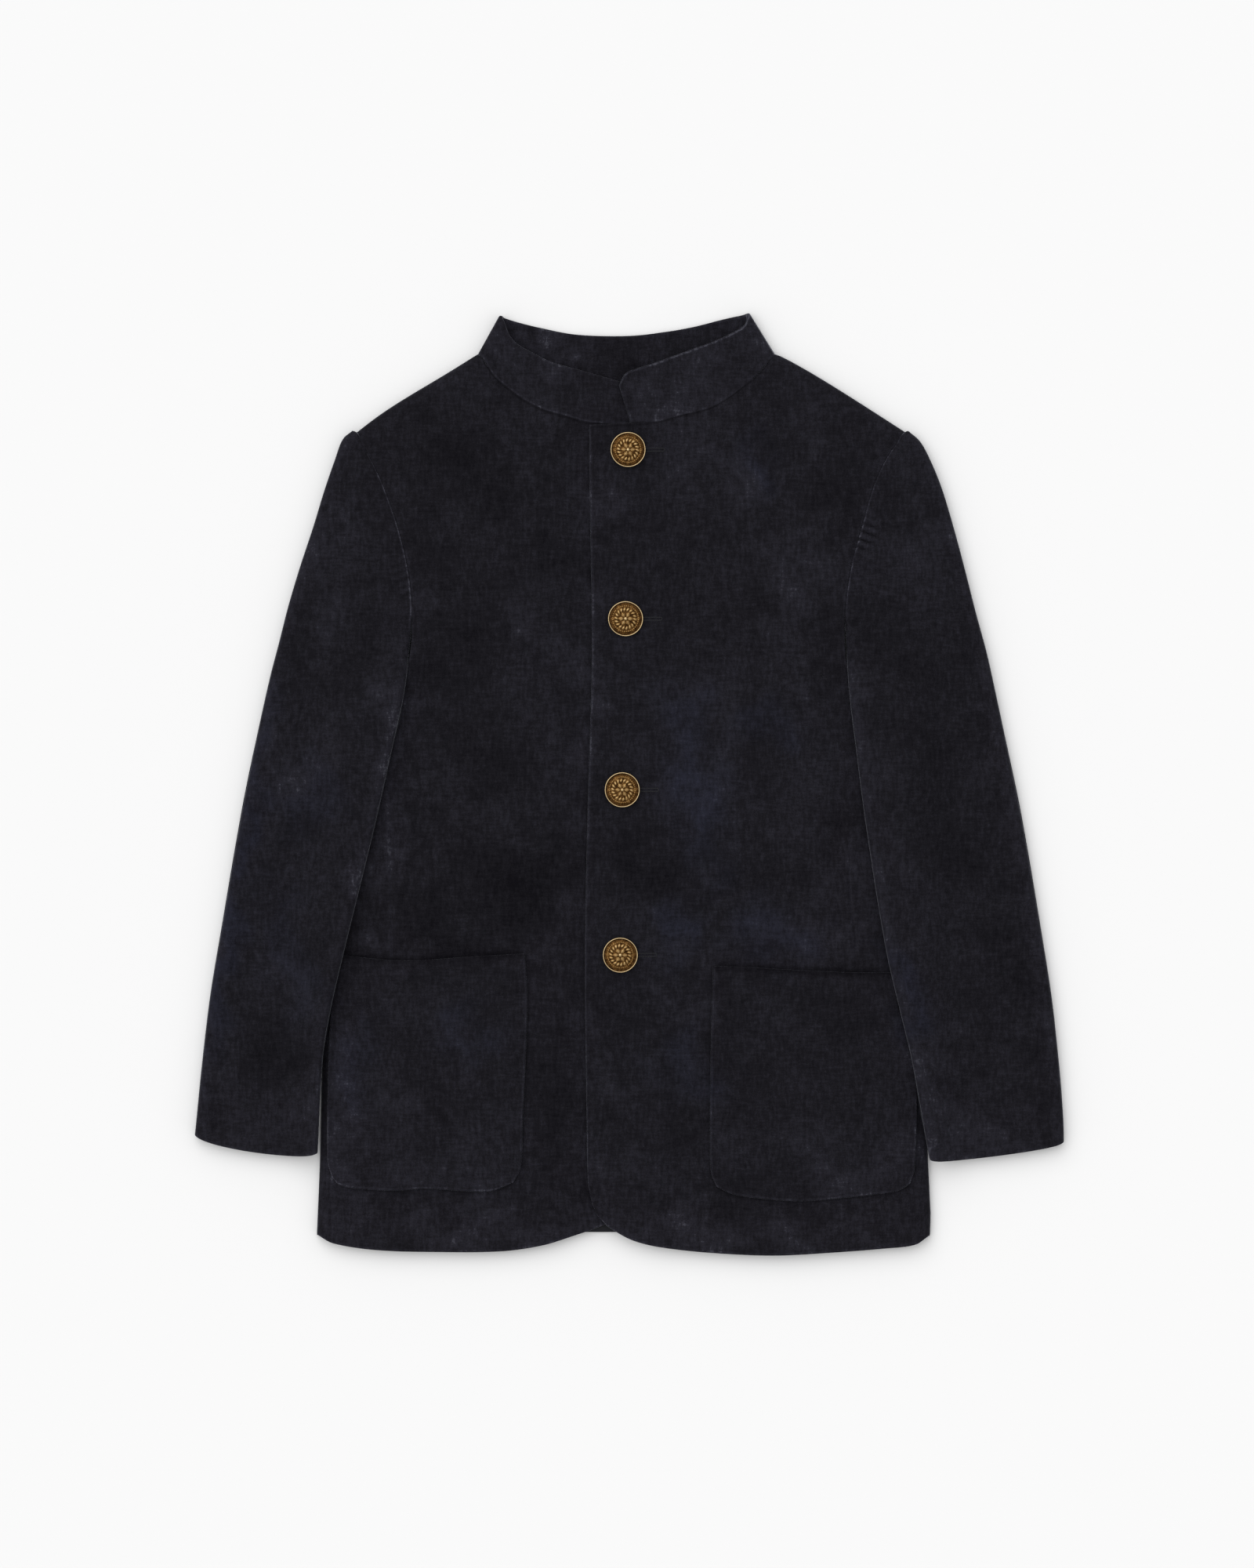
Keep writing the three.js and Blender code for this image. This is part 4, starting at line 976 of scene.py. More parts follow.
def above_mouth(x, y, half):
    """A narrow bell along the line of the pocket's mouth, as long as the mouth is: where the front gets
    painted shadow.
    """
    line = smooth(sorted(half["pocket_top"]))
    aside = y - np.interp(x, line[:, 0], line[:, 1])
    start, end = line[0, 0], line[-1, 0]
    return bell(aside, MOUTH_REACH) * step(start, start + 4, x) * step(end, end - 4, x)


def front_surface(x, y, half):
    """Middle of the dressed front: the solid's height, the creases and the dart."""
    calm = 1 - LAP_CALM * step(*LAP_QUIET, -np.abs(x - LAP_MIDDLE))
    height = front_height(x, y, half) + calm * bells(x, y, half["creases"])
    return height + pinched(x, y, half["dart"], DART_WIDTH, DART_DEPTH)


def armhole_line(half):
    """The armhole seam from the side seam's top to the shoulder's end, half a wall inside the outline."""
    x, y = half["side"][-1]
    side_top = (x + half["inward"] * WALL / 2, y)
    return smooth([side_top, *half["armhole"], moved_shoulder(half)[-1]])


def moved_shoulder(half):
    """The bowed shoulder line, moved half a wall inward, square to itself."""
    (x0, y0), (x1, y1) = half["shoulder"]
    length = math.hypot(x1 - x0, y1 - y0)
    inset = (math.copysign(1, x1 - x0) * (y1 - y0) / length, -abs(x1 - x0) / length)
    share = np.linspace(0, 1, 25)
    inward = WALL / 2 - bowed(share, half)
    x, y = mix(x0, x1, share) + inset[0] * inward, mix(y0, y1, share) + inset[1] * inward
    return np.stack([x, y], axis=-1)


def front_panel(half):
    """A patch between hem, neck with shoulder, buttoning edge, and side with armhole. The middle surface
    has the height above, and swells along the buttoning edge."""
    side = [(x + half["inward"] * WALL / 2, y) for x, y in half["side"]]
    shoulder = moved_shoulder(half)
    bottom = smooth([*half["hem"], side[0]])
    top = np.vstack([smooth([*half["neck"], shoulder[0]]), shoulder[1:]])
    end = np.vstack([smooth(side), armhole_line(half)[1:]])
    across = stops(FRONT_COLUMNS, FRONT_WIDTH, ROLL, CURL_ROLL)
    across = np.unique(np.concatenate([across, np.linspace(*DART_SHARE, DART_COLUMNS)]))
    up = stops(FRONT_ROWS, FRONT_LENGTH, ROLL, CURL_ROLL)
    x, y = patch(bottom, top, smooth(half["edge"]), end, across, up)
    net = np.stack([x, y, front_surface(x, y, half)], axis=-1)
    hem, neck, edge, outer = from_border(net)
    net[..., 2] += EDGE_SWELL * (step(*EDGE_RISE, edge) - step(*EDGE_FALL, edge))
    at_armhole = step(*AT_ARMHOLE, y[:, -1:])
    at_neck = step(*AT_NECK, np.abs(x[-1:]))
    shape = np.minimum.reduce([
        turned(hem, WALL / 2),
        turned(edge, WALL / 2),
        turned(neck, SEAM_ROLL, SEAM_FLOOR, at_neck),
        turned(outer, SEAM_ROLL, SEAM_FLOOR, at_armhole),
    ])
    # Paler hem, edge, armhole and dart: partly worn pile, partly painted sheen. Creases get painted light
    # on their ridges and painted shade in their troughs, and the collar's seam and the pocket's mouth get
    # painted shade.
    wear_and_painted_light = rub(hem, HEM_WEAR_AND_SHEEN) + rub(edge, EDGE_WEAR_AND_SHEEN) + at_armhole * rub(outer, ARMHOLE_WEAR_AND_SHEEN)
    wear_and_painted_light = wear_and_painted_light + line_wear_and_painted_light(beside(x, y, half["dart"]), half["dart_rub"], DART_REACH)
    wear_and_painted_light = wear_and_painted_light + CREASE_OPENED_AND_SHADED * bells(x, y, half["creases"])
    wear_and_painted_light = wear_and_painted_light - at_neck * NECK_SHADE * bell(neck - NECK_FOOT[0], NECK_FOOT[1])
    wear_and_painted_light = wear_and_painted_light - MOUTH_SHADE * above_mouth(x, y, half)
    return shell(half["name"] + "_front", net, WALL / 2 * shape, VELVET, LINING, wear_and_painted_light)


right_front = front_panel(RIGHT)
left_front = front_panel(LEFT)

# %% [markdown]
# The collar is a straight band, two fingers high, that stands when worn. Laid flat it folds in two over
# the back of the neck, so the back half shows its inside, and the left end laps over the right one and
# ends in a rounded corner. Its upper edge is turned, and its lower edge is sewn to the neck.

# %% The collar band
COLLAR_ROWS = 330
COLLAR_ACROSS = 14
COLLAR_WIDTH = 23
COLLAR_OVERLAP = 0.05  # the band reaches this share of its width over the neck seam
COLLAR_STAND = 0.4  # and stands this much above it
COLLAR_RISE = 1.035  # its upper edge is this share of the width away
COLLAR_FOLDS = (10.0, 22.0)  # rows of the table where the band folds
TIP_REACH = 1.3  # rows
TIP_OVERLAP = 0.12
TIP_REST = 0.05  # the folded tips reach this much further, as a share of the width
# Crease ridges paler and troughs darker with painted light and shade. Edges, seam and end paler: partly
# worn pile, partly painted sheen, with a strong painted highlight on the left half's upper edge.
COLLAR_OPENED_AND_SHADED = 0.22
# The first of each pair is for the right half of the band, the second for the left half.
COLLAR_PALE = (0.05, 0.1)
COLLAR_EDGE_WEAR_AND_SHEEN = (0.1, 0.4)
COLLAR_SEAM_WEAR_AND_SHEEN = (0.24, 0.05)
COLLAR_END_WEAR_AND_SHEEN = 0.2
COLLAR_CREASES = [
    (-81, 254, -70, 238, 1.2, 0.9),
    (-74, 243, -58, 233, 1.5, 0.5),
    (-83, 247, -72, 234, 1.3, -0.8),
    (-57, 263, -52, 246, 1.8, -1.1),
    (-50, 262, -46, 244, 2.6, 0.4),
    (-14, 257, -40, 233, 2.0, 0.5),
    (-26, 257, -48, 240, 2.4, -0.5),
    (28, 236, 58, 246, 3.0, 0.5),
    (-45, 226, -25, 220, 3.0, -0.4),
]


def collar_band():
    """The rows of the collar's table, smoothed and walked at an even pace, each joined from seam to
    upper edge by a straight line. Heights mix between the table and the front beneath."""
    rows = smooth([(*row, i) for i, row in enumerate(COLLAR)])
    length = np.hypot(*np.diff(rows[:, :2], axis=0).T).sum()
    rows = walk(rows, stops(COLLAR_ROWS, length, ROLL[:6], ROLL[:6]))[:, None]
    share = stops(COLLAR_ACROSS, COLLAR_WIDTH, ROLL[:7], ROLL[:7])[None]
    sx, sy, sh, tx, ty, th, place = (rows[..., k] for k in range(7))
    near_fold = sum(bell(place - fold, TIP_REACH) for fold in COLLAR_FOLDS)
    share = mix(-COLLAR_OVERLAP - TIP_OVERLAP * near_fold, COLLAR_RISE + TIP_REST * near_fold, share)
    x, y = mix(sx, tx, share), mix(sy, ty, share)
    level = np.where(place < COLLAR_MIDDLE, lap_level(x, RIGHT), lap_level(x, LEFT))
    up = clamp(mix(sh, th, clamp(share)))
    height = mix(TABLE_LEVEL, level + COLLAR_STAND, up)
    folds = bells(x, y, COLLAR_CREASES)
    height = height + step(0.8, 1.0, up) * folds + step(0.2, 0.0, up) * np.maximum(folds, 0)
    net = np.stack([x, y, height], axis=-1)
    start, end, seam, edge = from_border(net)
    free = [turned(d, WALL / 2) for d in (start, end, edge)]
    shape = np.minimum.reduce([*free, turned(seam, SEAM_ROLL, SEAM_FLOOR)])
    upper_band = step(COLLAR_MIDDLE, COLLAR_MIDDLE + 8, place)
    # Paler edges, seam and end: partly worn pile, partly painted sheen; the creases get painted light and
    # shade.
    wear_and_painted_light = mix(*COLLAR_PALE, upper_band) + COLLAR_OPENED_AND_SHADED * folds + rub(end, COLLAR_END_WEAR_AND_SHEEN)
    wear_and_painted_light = wear_and_painted_light + rub(edge, mix(*COLLAR_EDGE_WEAR_AND_SHEEN, upper_band))
    wear_and_painted_light = wear_and_painted_light + rub(seam, mix(*COLLAR_SEAM_WEAR_AND_SHEEN, upper_band))
    return shell("collar_band", net, WALL / 2 * shape, VELVET, VELVET, wear_and_painted_light)


collar = collar_band()

# %% [markdown]
# A tailored sleeve has two pieces, a top and an under, sewn along the front and the back of the arm. Laid
# flat the tube folds near those seams. The upper half starts at the armhole, where a little extra length
# is eased in and puckers, and the lower half lies on the table outside the body and over the front within
# it.

# %% The sleeves
SLEEVE_ROWS = 320
SLEEVE_LENGTH = 405
SLEEVE_COLUMNS = 46
UNDER_SHARES = 7  # rows between two rows of the table
NEAR_FOLD = [0, 8, 18, 30, 42, 54, 66, 78, 90]  # degrees round the fold
FORE_COLUMNS = 34
FORE_WIDTH = 20
FOLD_LEFT = 0.12  # each half stops this far from the middle of the fold
RIGHT["cuff_bow"] = (6.8, 0.38)  # how far the cuff hangs below its corners, and how square that is
LEFT["cuff_bow"] = (7.8, 0.14)
CUFF_REACH = 60
HEAD_REACH = 8
ARMHOLE_FOOT = 40  # points of the armhole line that run under the arm
HEAD_SWELL = 0.7  # the eased length swells beside the armhole seam
HEAD_RISE = (0, 3.5)
HEAD_FALL = (5, 16)
CREASE_START = (0, 8)  # distances from the edges over which the creases set in
# Paler pile at folds, cuffs and sewn edges: partly worn pile, partly painted sheen.
FOLD_WEAR_AND_SHEEN = 0.14  # how much paler the pile is at a fold, over the two widths that follow
INNER_PALE = 7
OUTER_PALE = 9
CUFF_WEAR_AND_SHEEN = 0.16
PUCKER_PITCH = 4.4
PUCKER_PLACE = (3.5, 5.5)  # how far from the seam the puckers are strongest, and over what width
# Pucker ridges get painted light, their troughs painted shade.
PUCKER_OPENED_AND_SHADED = 3.0
RIGHT["tip"] = (-155.2, 199.5, 200.0)  # the first row of the upper half, at the shoulder's end
LEFT["tip"] = (156.9, 199.5, 199.9)
# For each row of the tables: 0 where the inner edge is sewn and 1 where it is a fold, and for the lower
# half the level of a sewn edge.
TOP_FOLD = [0] * 7 + [0.1, 0.6] + [1] * 7
UNDER_FOLD = [0] * 14 + [0.3] + [1] * 9
UNDER_LEVEL = [1.4] + [1.25] * 7 + [4.4, 8.6] + [9.9] * 14
CUFF_ENDS = [0.09, 0.05, 0.03, 0.015, 0.005, 0]  # closer rows at the cuff, in rows of the table
FORE_VALLEY = 1.1  # width and depth of the valley at the sleeve's front seam
FORE_DEPTH = 0.5
# Paler line on the front seam: partly pressed-open pile, partly painted sheen.
FORE_WEAR_AND_SHEEN = 0.1
FORE_REACH = 1.0
RIGHT["fore_seam"] = None
LEFT["fore_seam"] = [
    (131.0, 8.0), (132.3, -6.9), (139.4, -38.8), (146.5, -62.4), (151.8, -89.5), (158.5, -125.0),
    (164.3, -152.5), (171.0, -176.0), (178.5, -204.0),
]
RIGHT["pucker"] = (118.0, 14.0, 0.3)  # y at the middle, reach in y, height
LEFT["pucker"] = (141.0, 9.0, 0.9)
# Paler armhole seam: partly pressed-open pile, partly painted sheen, more on the right, whose seam slopes
# away from the light.
RIGHT["seam_rub"] = 0.5
LEFT["seam_rub"] = 0.36
RIGHT["sleeve_creases"] = [
    (-150, 150, -175, 90, 9, 0.6),
    (-135, 95, -175, 40, 10, -0.7),
    (-150, 40, -205, -20, 12, 0.6),
    (-160, 0, -212, -60, 11, -0.5),
    (-165, -60, -225, -90, 10, 0.4),
    (-180, -120, -225, -170, 10, -0.5),
    (-185, -165, -235, -150, 7, 0.4),
    (-150, 190, -160, 150, 4, 0.4),
]
LEFT["sleeve_creases"] = [
    (150, 150, 178, 90, 9, 0.6),
    (130, 90, 170, 50, 9, -0.6),
    (140, 60, 200, 30, 12, 0.5),
    (150, -10, 210, -60, 11, -0.6),
    (160, -60, 225, -80, 10, 0.4),
    (175, -110, 228, -150, 10, -0.5),
    (190, -175, 235, -160, 7, 0.4),
    (152, 192, 160, 150, 4, 0.4),
]


def upper_height(x, y, half):
    """Middle of a sleeve's upper layer."""
    return FRONT_LEVEL + body_lift(x, y, half) * step(*UPPER_RISE, y)


def lower_height(x, y, half, over):
    """Middle of a sleeve's lower layer. over is 1 in a row that starts on the front, and 0 on the
    back."""
    outside = step(-1, 3, outside_side(x, y, half))
    return TABLE_LEVEL + body_lift(x, y, half) * mix(over, step(*LOWER_RISE, y), outside)


def sleeve_wave(x, y, half, w):
    """Shallow waves in the upper layer, away from its edges."""
    inner = (4 * w * (1 - w)) ** 2
    return RIPPLE * np.sin(y / 19 + half["inward"] * (x / 27)) * step(160, 120, y) * inner


def puckers(y, from_seam, half):
    """Short ridges square to the armhole seam, dying out within a finger's width of it."""
    middle, reach, height = half["pucker"]
    here = bell(y - middle, reach) * bell(from_seam - PUCKER_PLACE[0], PUCKER_PLACE[1])
    return height * here * np.sin(2 * math.pi * (y + 0.35 * from_seam) / PUCKER_PITCH)


def sleeve_half(half, upper):
    """A net from the inner edge to the outer fold. Each row of the table gives the inner edge, the
    height where the row meets the outer fold, and whether the inner edge is sewn or folded. A folded
    edge drops along a quarter circle to the middle between the two layers."""
    if upper > 0:
        table = np.column_stack([[half["tip"], *half["top"]], TOP_FOLD])
        rows = walk(smooth(table), stops(SLEEVE_ROWS, SLEEVE_LENGTH, ROLL[:1] + ROLL[3:7], ROLL))
    else:
        table = np.column_stack([half["under"], UNDER_FOLD, UNDER_LEVEL])
        last = len(table) - 1
        places = np.linspace(0, last, last * UNDER_SHARES + 1)
        places = np.concatenate([places[:-1], last - np.array(CUFF_ENDS)])
        rows = np.stack([np.interp(places, np.arange(last + 1), column) for column in table.T], axis=-1)
    ix, iy, oy, fold = (rows[:, k:k + 1] for k in range(4))
    fold = clamp(fold)
    if upper > 0:
        ix = mix(x_at(armhole_line(half)[ARMHOLE_FOOT:], iy), ix, step(0, 0.15, fold))
    ox = x_at(smooth(half["outer"]), oy)
    whole = np.hypot(ox - ix, oy - iy)
    dx, dy = (ox - ix) / whole, (oy - iy) / whole
    first = step(0, 0.3, fold) * WALL / 2
    width = whole - first - WALL / 2
    end = np.minimum(FOLD_RADIUS, width * 0.3)
    near = (1 - np.cos(np.radians(NEAR_FOLD)))[None] * end
    fore = np.minimum(FORE_WIDTH, width * 0.4)
    inner = end + (fore - end) * np.linspace(0, 1, FORE_COLUMNS)[None, 1:]
    middle = fore + (width - end - fore) * np.linspace(0, 1, SLEEVE_COLUMNS)[None, 1:-1]
    d = np.hstack([near, inner, middle, (width - near)[:, ::-1]])
    w = (first + d) / whole
    hang, square = half["cuff_bow"]
    hang = hang * step(table[-1, 1] + CUFF_REACH, table[-1, 1], iy)
    x = ix + dx * (first + d)
    y = iy + dy * (first + d) - hang * clamp(4 * w * (1 - w)) ** square
    if upper > 0:
        flat = upper_height(x, y, half)
        seam_level = front_surface(ix, iy, half)
    else:
        level = rows[:, 4:5]
        flat = lower_height(x, y, half, step(TABLE_LEVEL, BODY_LIFT, level))
        seam_level = level
    core = flat - upper * (FOLD_RADIUS - FOLD_LEFT)
    edge = mix(seam_level, core, fold)
    reach = mix(HEAD_REACH, FOLD_RADIUS, fold)
    z = flat + (edge - flat) * (1 - quarter(d / reach))
    z = z + (core - flat) * (1 - quarter((width - d) / FOLD_RADIUS))
    sewn = 1 - step(0, 0.3, fold)
    # Folds, sewn edges and the cuff are paler: partly worn pile, partly painted sheen.
    paler = step(INNER_PALE, 0, d) * fold + step(OUTER_PALE, 0, width - d)
    wear_and_painted_light = sewn * rub(d, half["seam_rub"]) + FOLD_WEAR_AND_SHEEN * paler
    if upper > 0:
        folds, eased = bells(x, y, half["sleeve_creases"]), puckers(y, d, half)
        z = z + sleeve_wave(x, y, half, w) + folds * step(*CREASE_START, d) * step(*CREASE_START, width - d)
        z = z + (1 - fold) * (HEAD_SWELL * (step(*HEAD_RISE, d) - step(*HEAD_FALL, d)) + eased)
        # Crease and pucker ridges get painted light, their troughs painted shade.
        wear_and_painted_light = wear_and_painted_light + CREASE_OPENED_AND_SHADED * (folds + PUCKER_OPENED_AND_SHADED * sewn * eased)
    if upper > 0 and half["fore_seam"]:
        clear = step(1.0, 4.0, d)
        z = z + pinched(x, y, half["fore_seam"], FORE_VALLEY, FORE_DEPTH) * clear
        wear_and_painted_light = wear_and_painted_light + line_wear_and_painted_light(beside(x, y, half["fore_seam"]), FORE_WEAR_AND_SHEEN, FORE_REACH) * clear
    net = np.stack([x, y, z], axis=-1)
    tip, cuff, seam, _ = from_border(net)
    wear_and_painted_light = wear_and_painted_light + rub(cuff, CUFF_WEAR_AND_SHEEN)
    sewn_in = turned(seam, SEAM_ROLL, SEAM_FLOOR, sewn)
    shape = np.minimum.reduce([turned(tip, SEAM_ROLL, SEAM_FLOOR), turned(cuff, WALL / 2), sewn_in])
    name = half["name"] + ("_sleeve_top" if upper > 0 else "_sleeve_under")
    paints = (VELVET, LINING) if upper > 0 else (LINING, VELVET)
    return shell(name, net, WALL / 2 * shape, *paints, wear_and_painted_light)


right_sleeve_top = sleeve_half(RIGHT, 1)
right_sleeve_under = sleeve_half(RIGHT, -1)
left_sleeve_top = sleeve_half(LEFT, 1)
left_sleeve_under = sleeve_half(LEFT, -1)

# %% [markdown]
# A patch pocket is a piece of the same velvet, sewn on by its sides and its rounded bottom, with its
# turned edges standing a little above the front. The mouth isn't sewn, so it lifts and throws a thin
# shadow, and that shadow is also painted into the pile above and below it.

# %% The pockets
POCKET_ROWS = 105
POCKET_COLUMNS = 95
POCKET_LENGTH = 133
POCKET_WIDTH = 114
POCKET_PUFF = 0.6
MOUTH_LIFT = 1.1
# Paler sewn edges: partly worn pile, partly painted sheen.
POCKET_WEAR_AND_SHEEN = 0.24
MOUTH_SHADOW = 2.5  # painted shadow darkens the pile this far below the mouth
RIGHT["mouth_rub"] = -0.2
LEFT["mouth_rub"] = -0.36
RIGHT["pocket_creases"] = [
    (-150, -110, -90, -120, 6, -0.5),
    (-110, -150, -80, -205, 8, 0.4),
    (-150, -170, -110, -215, 8, -0.4),
    (-75, -120, -72, -200, 5, 0.35),
]
LEFT["pocket_creases"] = [
    (60, -118, 130, -125, 6, -0.5),
    (70, -150, 90, -215, 8, -0.4),
    (110, -140, 145, -200, 8, 0.4),
    (55, -130, 54, -200, 5, 0.35),
]


def pocket(half):
    """A patch between the four sides of the pocket, moved out from the front's surface along its normal
    by half of both walls and the gap, with a soft swell in its middle and along its mouth."""
    sides = [smooth(half[key]) for key in ("pocket_bottom", "pocket_top", "pocket_outer", "pocket_inner")]
    across = stops(POCKET_COLUMNS, POCKET_WIDTH, ROLL[:8], ROLL[:8])
    up = stops(POCKET_ROWS, POCKET_LENGTH, ROLL[:8], ROLL[:8])
    x, y = patch(*sides, across, up)
    nearby = 0.5
    slope_x = (front_height(x - nearby, y, half) - front_height(x + nearby, y, half)) / (2 * nearby)
    slope_y = (front_height(x, y - nearby, half) - front_height(x, y + nearby, half)) / (2 * nearby)
    out = np.stack([slope_x, slope_y, np.ones_like(x)], axis=-1)
    out /= np.linalg.norm(out, axis=-1, keepdims=True)
    net = np.stack([x, y, front_height(x, y, half)], axis=-1) + out * (WALL / 2 + GAP + POCKET_WALL / 2)
    bottom, mouth, outer, inner = from_border(net)
    calm = step(0, 12, bottom) * step(0, 12, inner) * step(0, 12, outer)
    middle = np.sin(math.pi * clamp(across))[None]
    net[..., 2] += calm * (POCKET_PUFF + bells(x, y, half["pocket_creases"]))
    net[..., 2] += MOUTH_LIFT * middle * step(16, 0, mouth) * step(0, 10, outer)
    shape = np.minimum.reduce([turned(d, POCKET_WALL / 2) for d in (bottom, mouth, outer, inner)])
    # Sewn edges paler: partly worn pile, partly painted sheen. The mouth gets painted shadow.
    wear_and_painted_light = sum(rub(d, POCKET_WEAR_AND_SHEEN) for d in (bottom, outer, inner))
    wear_and_painted_light = wear_and_painted_light + line_wear_and_painted_light(mouth, half["mouth_rub"], MOUTH_SHADOW)
    return shell(half["name"] + "_pocket", net, POCKET_WALL / 2 * shape, VELVET, LINING, wear_and_painted_light)


right_pocket = pocket(RIGHT)
left_pocket = pocket(LEFT)

# %% [markdown]
# Each buttonhole is a slit beside its button, whipped round with close stitches of dark thread. The
# thread is a tube round a long loop, and its radius swells and shrinks once a stitch. The slit is closed,
# so only the stitches show.

# %% The buttonholes
LOOP_START = 2.6  # from the button's middle
LOOP_END = 20.6
LOOP_HALF = 0.85
THREAD_RADIUS = 0.4
STITCH_PITCH = 0.62
THREAD_LEVEL = LAP_OVER_LEVEL + WALL / 2 - 0.18
LOOP_POINTS = 300
THREAD_SIDES = 8
THREAD_TONES = [(0.3, (0.004, 0.004, 0.006)), (0.7, (0.010, 0.010, 0.014))]


def thread():
    """Dark twisted thread with a slight gloss."""
    paint, tree, shader = new_paint("buttonhole thread", Roughness=0.55, Specular_IOR_Level=0.3)
    place = add_node(tree, "ShaderNodeTexCoord").outputs["Object"]
    twist = noise(tree, place, 3000.0, detail=1)
    tree.links.new(ramp(tree, twist, THREAD_TONES), shader.inputs["Base Color"])
    return paint


THREAD = thread()


def buttonhole(number, x, y):
    """A tube round a loop of two straight runs and two half circles. The radius is the thread's, times
    one plus a quarter of a sine with one period a stitch."""
    straight = LOOP_END - LOOP_START - 2 * LOOP_HALF
    turn = math.pi * LOOP_HALF
    whole = 2 * (straight + turn)
    s = np.arange(LOOP_POINTS) / LOOP_POINTS * whole
    run = s % (whole / 2)
    back = np.where(s < whole / 2, 1.0, -1.0)
    angle = clamp((run - straight) / turn) * math.pi
    px = np.minimum(run, straight) - straight / 2 + LOOP_HALF * np.sin(angle)
    py = -LOOP_HALF * np.cos(angle)
    middle = (LOOP_START + LOOP_END) / 2
    centre = np.stack([x + middle + back * px, y + back * py], axis=-1)
    ahead = np.roll(centre, -1, axis=0) - np.roll(centre, 1, axis=0)
    ahead /= np.linalg.norm(ahead, axis=-1, keepdims=True)
    aside = np.stack([-ahead[:, 1], ahead[:, 0]], axis=-1)
    stitches = round(whole / STITCH_PITCH)
    radius = THREAD_RADIUS * (1 + 0.25 * np.sin(2 * math.pi * stitches * s / whole))
    turns = np.arange(THREAD_SIDES) / THREAD_SIDES * 2 * math.pi
    flat = centre[:, None] + (radius[:, None] * np.cos(turns))[..., None] * aside[:, None]
    height = THREAD_LEVEL + radius[:, None] * np.sin(turns)
    points = np.concatenate([flat, height[..., None]], axis=-1).reshape(-1, 3)
    faces = ring_faces(LOOP_POINTS, THREAD_SIDES, closed=True)
    return make_object(f"buttonhole_{number}", points, faces, [THREAD])


buttonholes = [buttonhole(i + 1, x, y) for i, (x, y) in enumerate(BUTTONS)]

# %% [markdown]
# The buttons are antique brass, domed, with a raised bright rim. The face carries a plain rosette of this
# lesson's own: six petals round a boss, a ring of slender leaves and a ring of beads. A face that is
# turned on a lathe is a profile carried round an axis, and the relief is added to its height as a
# function of radius and angle. The polish has worn the high places and left the hollows dark, so the
# relief also steers the colour.

# %% The relief on a button
BUTTON_BACK = LAP_OVER_LEVEL + WALL / 2 + GAP
SHANK_RADIUS = 1.5
SHANK_FOOT = LAP_UNDER_LEVEL + WALL / 2 + GAP
BUTTON_SIDES = 200
FACE_RINGS = 64
FIELD_RADIUS = 8.1
BEAD_RING = 7.3
BEADS = 40
PETALS = 6
LEAVES = 18


def relief(r, a):
    """Height of the relief from 0 to 1: a boss, petals and leaves shaped by a cosine of the angle, and
    beads that are small bells on a ring."""
    boss = np.sqrt(clamp(1 - (r / 0.95) ** 2))
    petal = np.cos(a * PETALS / 2) ** 2
    width = np.sin(math.pi * clamp((r - 0.8) / 3.2))
    flower = clamp(petal - (1 - width) * 0.9) ** 0.6 * (0.75 + 0.25 * np.cos(a * PETALS * 3))
    leaf = np.cos(a * LEAVES / 2 + (r - 4.4) * 0.55) ** 2
    slim = np.sin(math.pi * clamp((r - 4.1) / 2.5))
    wreath = clamp(leaf - (1 - slim) * 0.95) ** 0.7
    turn = (a / (2 * math.pi) * BEADS) % 1 - 0.5
    apart = np.hypot(turn * 2 * math.pi * BEAD_RING / BEADS, r - BEAD_RING)
    beads = bell(apart, 0.36)
    return np.maximum.reduce(np.broadcast_arrays(boss, 0.85 * flower, 0.8 * wreath, 0.6 * beads))


print("relief at the boss:", float(relief(np.array(0.0), np.array(0.0))))

# %% Antique brass
BRASS_TONES = [
    # place on the ramp, colour: hollow, field, relief and worn metal
    (0.0, (0.026, 0.012, 0.004)),
    (0.22, (0.125, 0.060, 0.018)),
    (0.6, (0.360, 0.220, 0.080)),
    (1.0, (0.560, 0.425, 0.235)),
]
TARNISH_SCALE = 700.0
TARNISH_MIDDLE = 0.42
TARNISH = 0.8  # how much the noise shifts the tone
BRASS_ROUGH = (0.55, 0.3)  # roughness of the hollows and of the worn metal
BRASS_GRAIN = 2600.0
BRASS_BUMP = 0.00008


def antique_brass():
    """A ramp over the painted relief, broken up by fine noise, gives hollow, field and worn metal, and
    the same value makes the worn metal smoother."""
    paint, tree, shader = new_paint("antique brass", Metallic=1.0)
    place = add_node(tree, "ShaderNodeTexCoord").outputs["Object"]
    tarnish = noise(tree, place, TARNISH_SCALE, detail=4, roughness=0.7)
    centred = sums(tree, "SUBTRACT", tarnish, TARNISH_MIDDLE)
    total = sums(tree, "MULTIPLY_ADD", centred, TARNISH, painted(tree, "worn"))
    tree.links.new(ramp(tree, total, BRASS_TONES), shader.inputs["Base Color"])
    rough = add_node(tree, "ShaderNodeMapRange")
    rough.inputs["To Min"].default_value, rough.inputs["To Max"].default_value = BRASS_ROUGH
    tree.links.new(total, rough.inputs["Value"])
    tree.links.new(rough.outputs["Result"], shader.inputs["Roughness"])
    bumped(tree, shader, noise(tree, place, BRASS_GRAIN, detail=2), 0.35, BRASS_BUMP)
    return paint


BRASS = antique_brass()

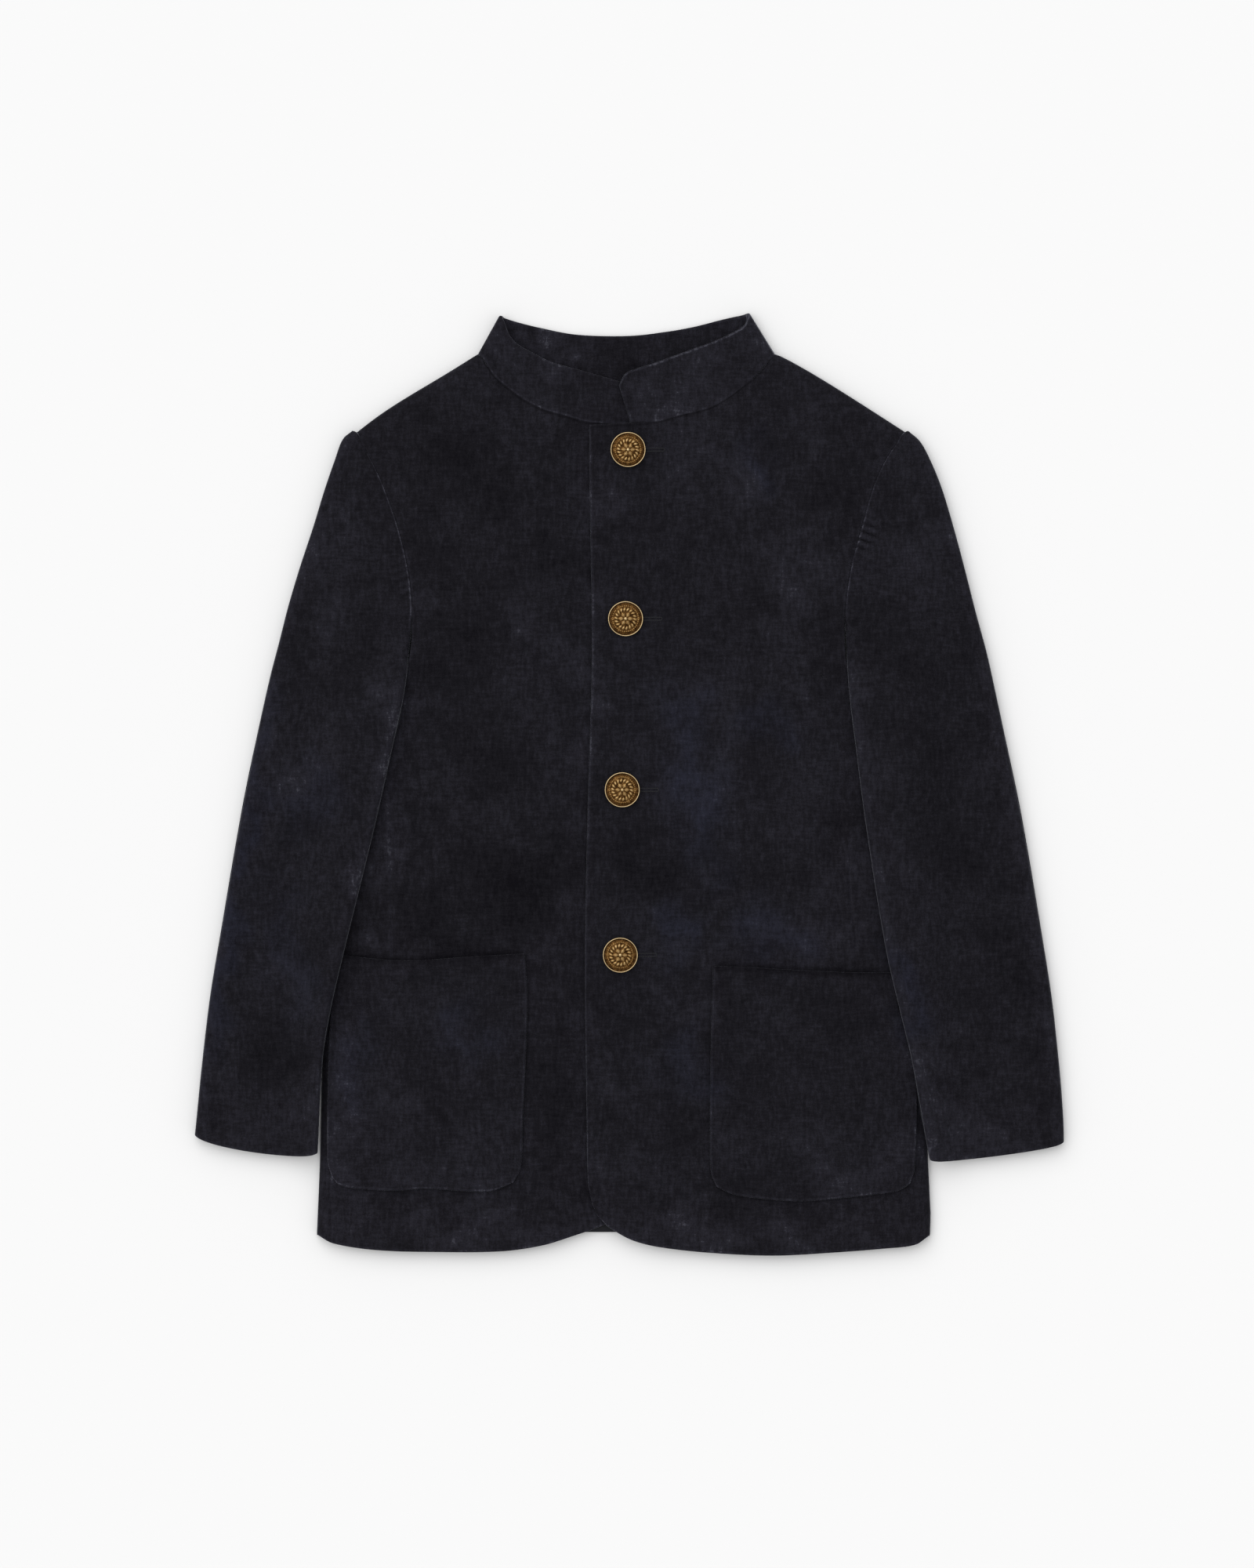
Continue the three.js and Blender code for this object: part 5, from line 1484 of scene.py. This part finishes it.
# %% Turning the buttons
RIM_SECTION = [  # radius, height above the button's back, how worn
    (8.4, 1.5, 0.05), (8.7, 1.42, 0.0), (9.0, 1.42, 0.0), (9.18, 1.6, 0.15), (9.3, 2.05, 0.7),
    (9.45, 2.36, 1.0), (9.68, 2.4, 1.0), (9.86, 2.25, 0.8), (9.96, 1.95, 0.4), (10.0, 1.6, 0.2),
    (10.0, 0.9, 0.1), (9.9, 0.5, 0.1),
    (9.2, 0.0, 0.1), (6.0, 0.0, 0.1), (SHANK_RADIUS, 0.0, 0.1),
    (SHANK_RADIUS, SHANK_FOOT - BUTTON_BACK, 0.1),
]
RELIEF_HEIGHT = 0.5
RELIEF_WORN = 0.95  # how worn the top of the relief is
DOME_TOP = 2.35  # above the button's back
DOME_FALL = 0.8
AXIS_RADIUS = 0.001  # the first and the last ring shrink to this


def button(number, x, y):
    """A profile carried round: the domed field with its relief, then the rim, the side, the back and the
    shank."""
    r = np.linspace(0, FIELD_RADIUS, FACE_RINGS + 1)[1:]
    dome = DOME_TOP - DOME_FALL * (r / FIELD_RADIUS) ** 2
    rim = np.array(RIM_SECTION)
    radius = np.concatenate([[AXIS_RADIUS], r, rim[:, 0], [AXIS_RADIUS]])
    height = np.concatenate([[DOME_TOP], dome, rim[:, 1], [SHANK_FOOT - BUTTON_BACK]])
    worn = np.concatenate([[0], np.zeros(len(r)), rim[:, 2], [0.1]])
    angle = np.arange(BUTTON_SIDES) / BUTTON_SIDES * 2 * math.pi
    rings, turns = radius[:, None], angle[None]
    on_face = (np.arange(len(radius)) <= FACE_RINGS)[:, None]
    raised = relief(rings, turns) * on_face
    z = BUTTON_BACK + height[:, None] + RELIEF_HEIGHT * raised
    points = np.stack([x + rings * np.cos(turns), y + rings * np.sin(turns), z], axis=-1).reshape(-1, 3)
    faces = ring_faces(len(radius), BUTTON_SIDES)
    values = {"worn": worn[:, None] + RELIEF_WORN * raised}
    return make_object(f"brass_button_{number}", points, faces, [BRASS], values=values)


brass_buttons = [button(i + 1, x, y) for i, (x, y) in enumerate(BUTTONS)]

# %% [markdown]
# Last, each piece hides the solid it stands for and is attached to what it moves with. The table also
# gives how each was cut, its flat area and what it lies on, which nothing here reads. The sizes are
# those of the flat cloth that shows, without its seam allowance, in metres.

# %% What each piece stands for
CUTS = [
    # piece, solids, flat width and length, flat area, what it lies on
    (back, ["back"], (0.348, 0.495), 0.155, ["floor"]),
    (right_front, ["front_right"], (0.189, 0.508), 0.081, [back]),
    (left_front, ["front_left"], (0.196, 0.510), 0.0853, [back, right_front]),
    (collar, ["collar"], (0.37, 0.024), 0.0087, [back, right_front, left_front]),
    (right_sleeve_top, ["sleeve_right_top"], (0.12, 0.41), 0.0274, [right_sleeve_under]),
    (right_sleeve_under, ["sleeve_right_under"], (0.12, 0.41), 0.0261, ["floor", right_front]),
    (left_sleeve_top, ["sleeve_left_top"], (0.12, 0.41), 0.0314, [left_sleeve_under]),
    (left_sleeve_under, ["sleeve_left_under"], (0.12, 0.41), 0.0303, ["floor", left_front]),
    (right_pocket, ["pocket_right"], (0.114, 0.135), 0.0147, [right_front]),
    (left_pocket, ["pocket_left"], (0.117, 0.133), 0.0151, [left_front]),
]
for piece, solids, cut, area, under in CUTS:
    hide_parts(*solids)
    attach(piece, "root")
for number, piece in enumerate(brass_buttons, start=1):
    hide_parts(f"button_{number}")
    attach(piece, "root")
for piece in buttonholes:
    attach(piece, "root")

# %% Sizes, and the end
VISUAL_BOX = [list(corner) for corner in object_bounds()]
for name, *ends in zip("xyz", *CAD_BOX, *VISUAL_BOX):
    print(name, "CAD and dressed, low and high:", [round(end, 4) for end in ends])
